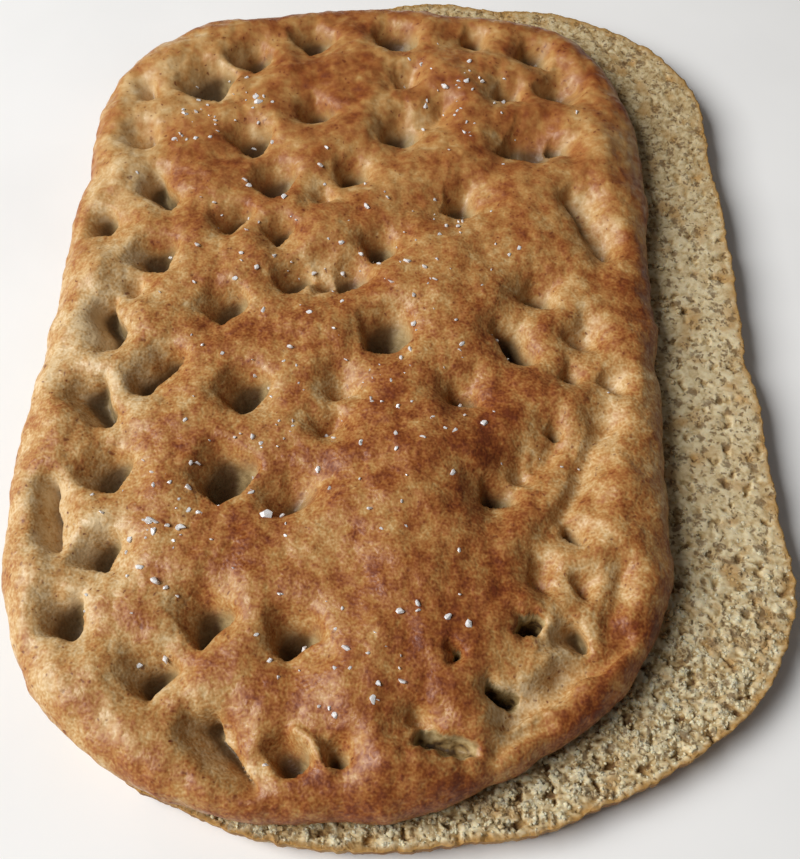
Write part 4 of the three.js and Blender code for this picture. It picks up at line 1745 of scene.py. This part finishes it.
    def side_rings(self, outline: np.ndarray, inwards: np.ndarray, edge_height: np.ndarray) -> np.ndarray:
        """Lays out the side from the crumb's edge down to the sole.

        Args:
            outline: The base's outline.
            inwards: The direction inwards at each point of it.
            edge_height: Height of the crumb's edge at each point.

        Returns:
            The points of each ring downwards.
        """
        heights = np.array([self.sole[1], self.foot[1], self.bulge[1], self.thickness])
        insets = np.array([self.sole[0], self.foot[0], self.bulge[0], 0.0])
        rise, size = self.side_lumps
        shares = np.linspace(1, 0, self.side_count + 1)[1:]
        rings = []
        for share in shares:
            level = share * self.thickness
            inset = np.interp(level, heights, insets)
            lump = rise * Noise(101).layered(outline[:, 0] + level, outline[:, 1] - level, size, 3)
            height = level * edge_height / self.thickness
            moved = outline + (inset + lump * min(1, 3 * share))[:, None] * inwards
            rings.append(np.column_stack([moved, height]))
        return np.concatenate(rings)


@dataclass
class Salt:
    """Coarse salt strewn on the crust: the crystals that the CAD model has, and the finer ones around them.

    Attributes:
        biggest: The crystals that catch the eye: across, along, size.
        handfuls: Where the largest of each handful lie: across, along, spread, count.
        strewn: The finer ones: across, along, spread across, spread along, count.
        scatter: How widely the finer ones lie, as a share of their spread.
        largest, smallest: Sizes of the crystals in a handful.
        finest, fineness: Size of the smallest of the finer ones, and how many are small: a power.
        shape: Length, width and height of a crystal, as shares of its size.
        tilt_share: How far it is tilted, as a share of its turn.
        sunk_share: How deep it lies in the crust, as a share of its size.
        margin: Least distance from the outline of the top.
        corners: How many corners a crystal is broken to.
        seed: Keeps the draws the same each run.
    """

    biggest: tuple[tuple[float, float, float], ...] = (
        (-19, -70, 3.6), (-48, -92, 3.6), (-53, -88, 2.4), (15, -124, 2.8), (5, -128, 2.6), (40, -102, 2.8),
        (-43, -113, 2.6), (-14.5, -69.5, 1.8),
    )
    handfuls: tuple[tuple[float, float, float, int], ...] = (
        (-52, 84, 17, 5), (38, 92, 19, 5), (12, 28, 24, 5), (-43, -68, 17, 6), (12, -112, 18, 3),
    )
    strewn: tuple[tuple[float, float, float, float, int], ...] = (
        (-52, 88, 18, 18, 34), (38, 95, 22, 18, 36), (10, 30, 32, 26, 44), (-42, -66, 16, 24, 42),
        (5, -25, 40, 34, 40), (10, -112, 24, 20, 24), (-40, 30, 30, 40, 30), (5, -40, 60, 60, 90),
    )
    scatter: float = 0.62
    largest: float = 3.0
    smallest: float = 2.2
    finest: float = 0.7
    fineness: float = 1.3
    shape: tuple[float, float, float] = (1.2, 0.9, 0.6)
    tilt_share: float = 0.4
    sunk_share: float = 0.3
    margin: float = 6.0
    corners: int = 15
    seed: int = 5

    def crystals(self, chance: np.random.Generator) -> list[tuple[float, float, float, float]]:
        """Lists every crystal.

        Args:
            chance: Seeded draws for the finer ones.

        Returns:
            Across, along, size and turn of each.
        """
        listed = [(x, y, size, math.pi * draw(n)) for n, (x, y, size) in enumerate(self.biggest)]
        for handful, (x, y, spread, count) in enumerate(self.handfuls):
            for n in range(count):
                number = 101 * (handful + 1) + 7 * n
                reach, angle = spread * math.sqrt(draw(number)), 2 * math.pi * draw(number + 1)
                size = self.largest + (self.smallest - self.largest) * n / count
                at_x, at_y = x + reach * math.cos(angle), y + reach * math.sin(angle)
                listed.append((at_x, at_y, size, math.pi * draw(number + 2)))
        for x, y, spread_x, spread_y, count in self.strewn:
            for _ in range(count):
                away_x, away_y = chance.normal(0, self.scatter, 2)
                size = self.finest + (self.smallest - self.finest) * chance.random() ** self.fineness
                listed.append((x + spread_x * away_x, y + spread_y * away_y, size, math.pi * chance.random()))
        return listed

    def is_on_crust(self, x: float, y: float) -> bool:
        """Tells whether a place is inside the rim of the top."""
        arm = np.array([x, y])
        reach = reach_of(TOP_OUTLINE.ring(), np.zeros(2), np.arctan2(arm[1], arm[0]))
        return bool(np.hypot(*arm) < reach - self.margin)

    def build(self, salt: bpy.types.Material) -> bpy.types.Object:
        """Builds and dresses the salt.

        Args:
            salt: The crushed salt.

        Returns:
            The piece.
        """
        chance = np.random.default_rng(self.seed)
        listed = [crystal for crystal in self.crystals(chance) if self.is_on_crust(*crystal[:2])]
        x, y = (np.array([row[i] for row in listed]) for i in (0, 1))
        inset = distance_to_ring(x, y, TOP_OUTLINE.ring()[::4])
        height = DOUGH.height(x, y, inset)
        mesh = bmesh.new()
        for (_, _, size, turn), at_x, at_y, at_z in zip(listed, x, y, height):
            chip = chance.normal(0, 1, (self.corners, 3))
            chip /= np.linalg.norm(chip, axis=1)[:, None]
            chip *= np.array(self.shape) * size / 2
            centre = (at_x, at_y, at_z + size * (self.shape[2] / 2 - self.sunk_share))
            move = Matrix.Translation(centre) @ Matrix.Rotation(turn, 4, "Z")
            move = move @ Matrix.Rotation(self.tilt_share * turn, 4, "X")
            corners = [mesh.verts.new(move @ Vector(corner)) for corner in chip]
            hull = bmesh.ops.convex_hull(mesh, input=corners)
            inside = hull["geom_interior"] + hull["geom_unused"]
            loose = {v for v in inside if isinstance(v, bmesh.types.BMVert)}
            bmesh.ops.delete(mesh, geom=list(loose), context="VERTS")
        mesh.verts.index_update()
        points = np.array([v.co for v in mesh.verts])
        faces = np.array([[v.index for v in face.verts] for face in mesh.faces])
        mesh.free()
        return make_piece("salt_crystals", points, [(faces, 0)], [salt], is_smooth=False)


@dataclass
class CrumbGrains:
    """The fine grains of the torn crumb, which stand up from the base where it was torn most.

    Attributes:
        tries: How many places are drawn.
        most: How many grains there are at most.
        smallest, largest: Sizes of the grains.
        stretch: Least and most length, width and height, as shares of the size.
        margin: Least distance from the base's edge.
        cover: How far they go on under the top.
        sunk_share: How deep their middles lie in the crumb, as a share of the size.
        lumpy, lump_size: How far they are knocked out of round, and the size of the lumps in radii.
        tone, pore_tone, painted_tip_light: How pale they are, and how much paler on open crumb and towards
            their tips, which is
        painted light.
        tone_spread: How far their tones differ.
        seed: Keeps the draws the same each run.
    """

    tries: int = 90000
    most: int = 8500
    smallest: float = 0.8
    largest: float = 2.1
    stretch: Pair = (0.7, 1.3)
    margin: float = 1.0
    cover: float = 2.0
    sunk_share: float = 0.36
    lumpy: float = 0.5
    lump_size: float = 1.1
    tone: float = 0.5
    pore_tone: float = 0.3
    painted_tip_light: float = 0.3
    tone_spread: float = 0.07
    seed: int = 13

    def places(
        self, chance: np.random.Generator, base: BaseHalf
    ) -> tuple[np.ndarray, np.ndarray, np.ndarray]:
        """Draws places where the crumb shows, more of them where it was torn most and on its lobes.

        Args:
            chance: Seeded draws.
            base: The half that they stand on.

        Returns:
            Places across and along, the height of the crumb there and its tone.
        """
        ring, lid = base_ring(), TOP_OUTLINE.ring()
        low, high = ring.min(0), ring.max(0)
        drawn = chance.uniform(low, high, (self.tries, 2))
        arm = drawn - base.middle
        turn, reach = np.arctan2(arm[:, 1], arm[:, 0]), np.hypot(*arm.T)
        shows = (reach < reach_of(ring, base.middle, turn) - self.margin) & (
            reach > reach_of(lid, base.middle, turn) - self.cover
        )
        drawn = drawn[shows]
        sunk, pore = base.crumb(drawn[:, 0], drawn[:, 1])
        wanted = (base.openness(drawn[:, 1]) - base.closed) / (1 - base.closed) * pore
        kept = np.flatnonzero(chance.random(len(drawn)) < wanted)[: self.most]
        return drawn[kept], base.thickness - sunk[kept], pore[kept]

    def build(self, crumb: bpy.types.Material, base: BaseHalf) -> bpy.types.Object:
        """Builds and dresses the grains.

        Args:
            crumb: The torn crumb.
            base: The half that they stand on.

        Returns:
            The piece.
        """
        chance = np.random.default_rng(self.seed)
        drawn, height, pore = self.places(chance, base)
        ball, ball_faces = lump_pattern(1)
        count = len(drawn)
        size = self.smallest + (self.largest - self.smallest) * chance.random(count) ** 2
        shape = chance.uniform(*self.stretch, (count, 1, 3)) * size[:, None, None] / 2
        away_x, away_y = chance.uniform(0, 900, (2, count, 1))
        across = 1.3 * ball[:, 0] + 0.7 * ball[:, 2] + away_x
        along = 1.3 * ball[:, 1] + away_y
        lump = self.lumpy * Noise(107).layered(across, along, self.lump_size, 2)
        grains = ball[None] * (1 + lump[..., None]) * shape
        turn = chance.uniform(0, 2 * np.pi, count)
        cos, sin = np.cos(turn)[:, None], np.sin(turn)[:, None]
        x, y = grains[..., 0] * cos - grains[..., 1] * sin, grains[..., 0] * sin + grains[..., 1] * cos
        points = np.stack([
            x + drawn[:, :1], y + drawn[:, 1:], grains[..., 2] + (height - self.sunk_share * size)[:, None],
        ], axis=-1)
        faces = ball_faces[None] + len(ball) * np.arange(count)[:, None, None]
        # Painted light: each grain is paler towards its top.
        level = self.tone + self.pore_tone * pore[:, None] + self.painted_tip_light * grains[..., 2] / size[:, None]
        level += self.tone_spread * chance.normal(0, 1, (count, 1))
        marks = {Mark.PORE: level.ravel(), Mark.EDGE: np.zeros(level.size)}
        return make_piece("crumb_grains", points.reshape(-1, 3), [(faces.reshape(-1, 3), 0)], [crumb], marks)


@dataclass
class LooseCrumbs:
    """Crumbs that fell on the base beside the top's edge.

    Attributes:
        count: How many.
        from_share, to_share: The part of the top's outline that they lie along.
        gap, spread: How near the top they lie and how much further out.
        smallest, largest: Their sizes.
        stretch: Least and most length, width and height, as shares of the size.
        margin: Least distance from the base's edge.
        lumpy, lump_size: How far they are knocked out of round, and the size of the lumps in radii.
        sunk_share, raised_share: How deep they lie in a hollow, and how high over that for their size.
        tone, contrast: How pale they are, and how much that changes with their lumps.
        lump_middle: The lump that has that tone.
        seed: Keeps the draws the same each run.
    """

    count: int = 120
    from_share: float = 0.2
    to_share: float = 0.5
    gap: float = 0.3
    spread: float = 9.0
    smallest: float = 0.7
    largest: float = 2.2
    stretch: Pair = (0.7, 1.2)
    margin: float = 2.0
    lumpy: float = 0.45
    lump_size: float = 1.4
    sunk_share: float = 0.6
    raised_share: float = 0.25
    tone: float = 0.35
    contrast: float = 0.8
    lump_middle: float = 0.75
    seed: int = 9

    def build(self, crumb: bpy.types.Material, base: BaseHalf) -> bpy.types.Object:
        """Builds and dresses the crumbs.

        Args:
            crumb: The torn crumb.
            base: The half that they lie on.

        Returns:
            The piece.
        """
        chance = np.random.default_rng(self.seed)
        ring, base_edge, middle = TOP_OUTLINE.ring(), base_ring(), np.array(base.middle)
        inwards = inward_normals(ring)
        ball, ball_faces = lump_pattern(2)
        across, along = 2.1 * ball[:, 0] + ball[:, 2], 2.1 * ball[:, 1] - ball[:, 2]
        blocks, faces, pores = [], [], []
        for n in range(self.count):
            share = self.from_share + (self.to_share - self.from_share) * chance.random()
            number = int(share * len(ring))
            size = self.smallest + (self.largest - self.smallest) * chance.random() ** 2
            away = size / 2 + self.gap + self.spread * chance.random() ** 2
            x, y = ring[number] - away * inwards[number]
            arm = np.array([x, y]) - middle
            reach = reach_of(base_edge, middle, np.arctan2(arm[1], arm[0]))
            if np.hypot(*arm) > reach - self.margin:
                continue
            sunk, _ = base.crumb(np.array([x]), np.array([y]))
            lump = 1 + self.lumpy * Noise(200 + n).layered(across, along, self.lump_size, 2)
            shape = size / 2 * chance.uniform(*self.stretch, 3)
            height = base.thickness - self.sunk_share * sunk[0] + self.raised_share * size
            faces.append(ball_faces + len(blocks) * len(ball))
            blocks.append(ball * lump[:, None] * shape + np.array([x, y, height]))
            pores.append(self.tone + self.contrast * (lump - self.lump_middle))
        points = np.concatenate(blocks)
        marks = {Mark.PORE: np.concatenate(pores), Mark.EDGE: np.zeros(len(points))}
        return make_piece("loose_crumbs", points, [(np.concatenate(faces), 0)], [crumb], marks)


@dataclass
class Studio:
    """A pale floor, soft light from the left and a little in front, and the photograph's camera.

    Attributes:
        eye: Where the camera is, in millimetres in the CAD frame.
        aim: The point on the table that it looks at.
        lens: Its focal length on a 36 mm sensor.
        floor_side: Side of the floor in metres.
        lights: The large soft lights: name, place and side in metres, power in watts.
        sky, fill: Colour and strength of the light from all around.
    """

    eye: tuple[float, float, float] = (6.740, -221.818, 339.09)
    aim: tuple[float, float, float] = (-1.468, -27.62, 0.0)
    lens: float = 50.29
    floor_side: float = 6.0
    lights: tuple[tuple[str, tuple[float, float, float], float, float], ...] = (
        ("window", (-1.6, -0.3, 1.5), 1.5, 66.0),
    )
    sky: str = "#fffdfa"
    fill: float = 0.1

    def build(self, ground: bpy.types.Material) -> None:
        """Builds the floor, the light and the camera.

        Args:
            ground: The pale board of the floor.
        """
        square = np.array([(-1, -1, 0), (1, -1, 0), (1, 1, 0), (-1, 1, 0)])
        corners = self.floor_side / MM / 2 * square + LOAF_MIDDLE
        floor = make_piece("floor", corners, [(np.array([[0, 1, 2, 3]]), 0)], [ground])
        scene = bpy.context.scene
        scene.view_settings.view_transform = "Standard"
        world = bpy.data.worlds.new("soft_studio")
        world.use_nodes = True
        sky = world.node_tree.nodes["Background"]
        sky.inputs["Color"].default_value = linear(self.sky)
        sky.inputs["Strength"].default_value = self.fill
        scene.world = world
        for name, spot, side, power in self.lights:
            light = bpy.data.lights.new(name, "AREA")
            light.shape = "SQUARE"
            light.size = side
            light.energy = power
            lamp = bpy.data.objects.new(name, light)
            lamp.location = spot
            lamp.rotation_mode = "QUATERNION"
            lamp.rotation_quaternion = (-lamp.location).to_track_quat("-Z", "Y")
            scene.collection.objects.link(lamp)
        lens = bpy.data.cameras.new("camera")
        lens.lens = self.lens
        camera = bpy.data.objects.new("camera", lens)
        camera.location = Vector(self.eye) * MM
        camera.rotation_mode = "QUATERNION"
        camera.rotation_quaternion = ((Vector(self.aim) - Vector(self.eye)) * MM).to_track_quat("-Z", "Y")
        scene.collection.objects.link(camera)
        scene.camera = camera


def main() -> None:
    """Builds the loaf and its studio in order and reports each piece."""
    logging.basicConfig(level=logging.INFO, format="%(name)s: %(message)s")
    crust, crumb = BakedCrust().material(), TornCrumb().material()
    base_half = BaseHalf()
    top = TopHalf().build(crust, crumb)
    base = base_half.build(crumb, TrayCrust().material())
    salt = Salt().build(SeaSalt().material())
    grains = CrumbGrains().build(crumb, base_half)
    crumbs = LooseCrumbs().build(crumb, base_half)
    for piece, node, slot in (
        (top, "top_half", "crust"), (base, "base_half", "crumb"), (grains, "base_half", "crumb"),
        (salt, "top_half", None), (crumbs, None, "crumb"),
    ):
        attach(piece, BODY)
        if node:
            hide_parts(node)
        mesh = piece.data
        LOG.info("%s has %d points and %d faces", piece.name, len(mesh.vertices), len(mesh.polygons))
    Studio().build(PaleBoard().material())


if __name__ == "__main__":
    main()
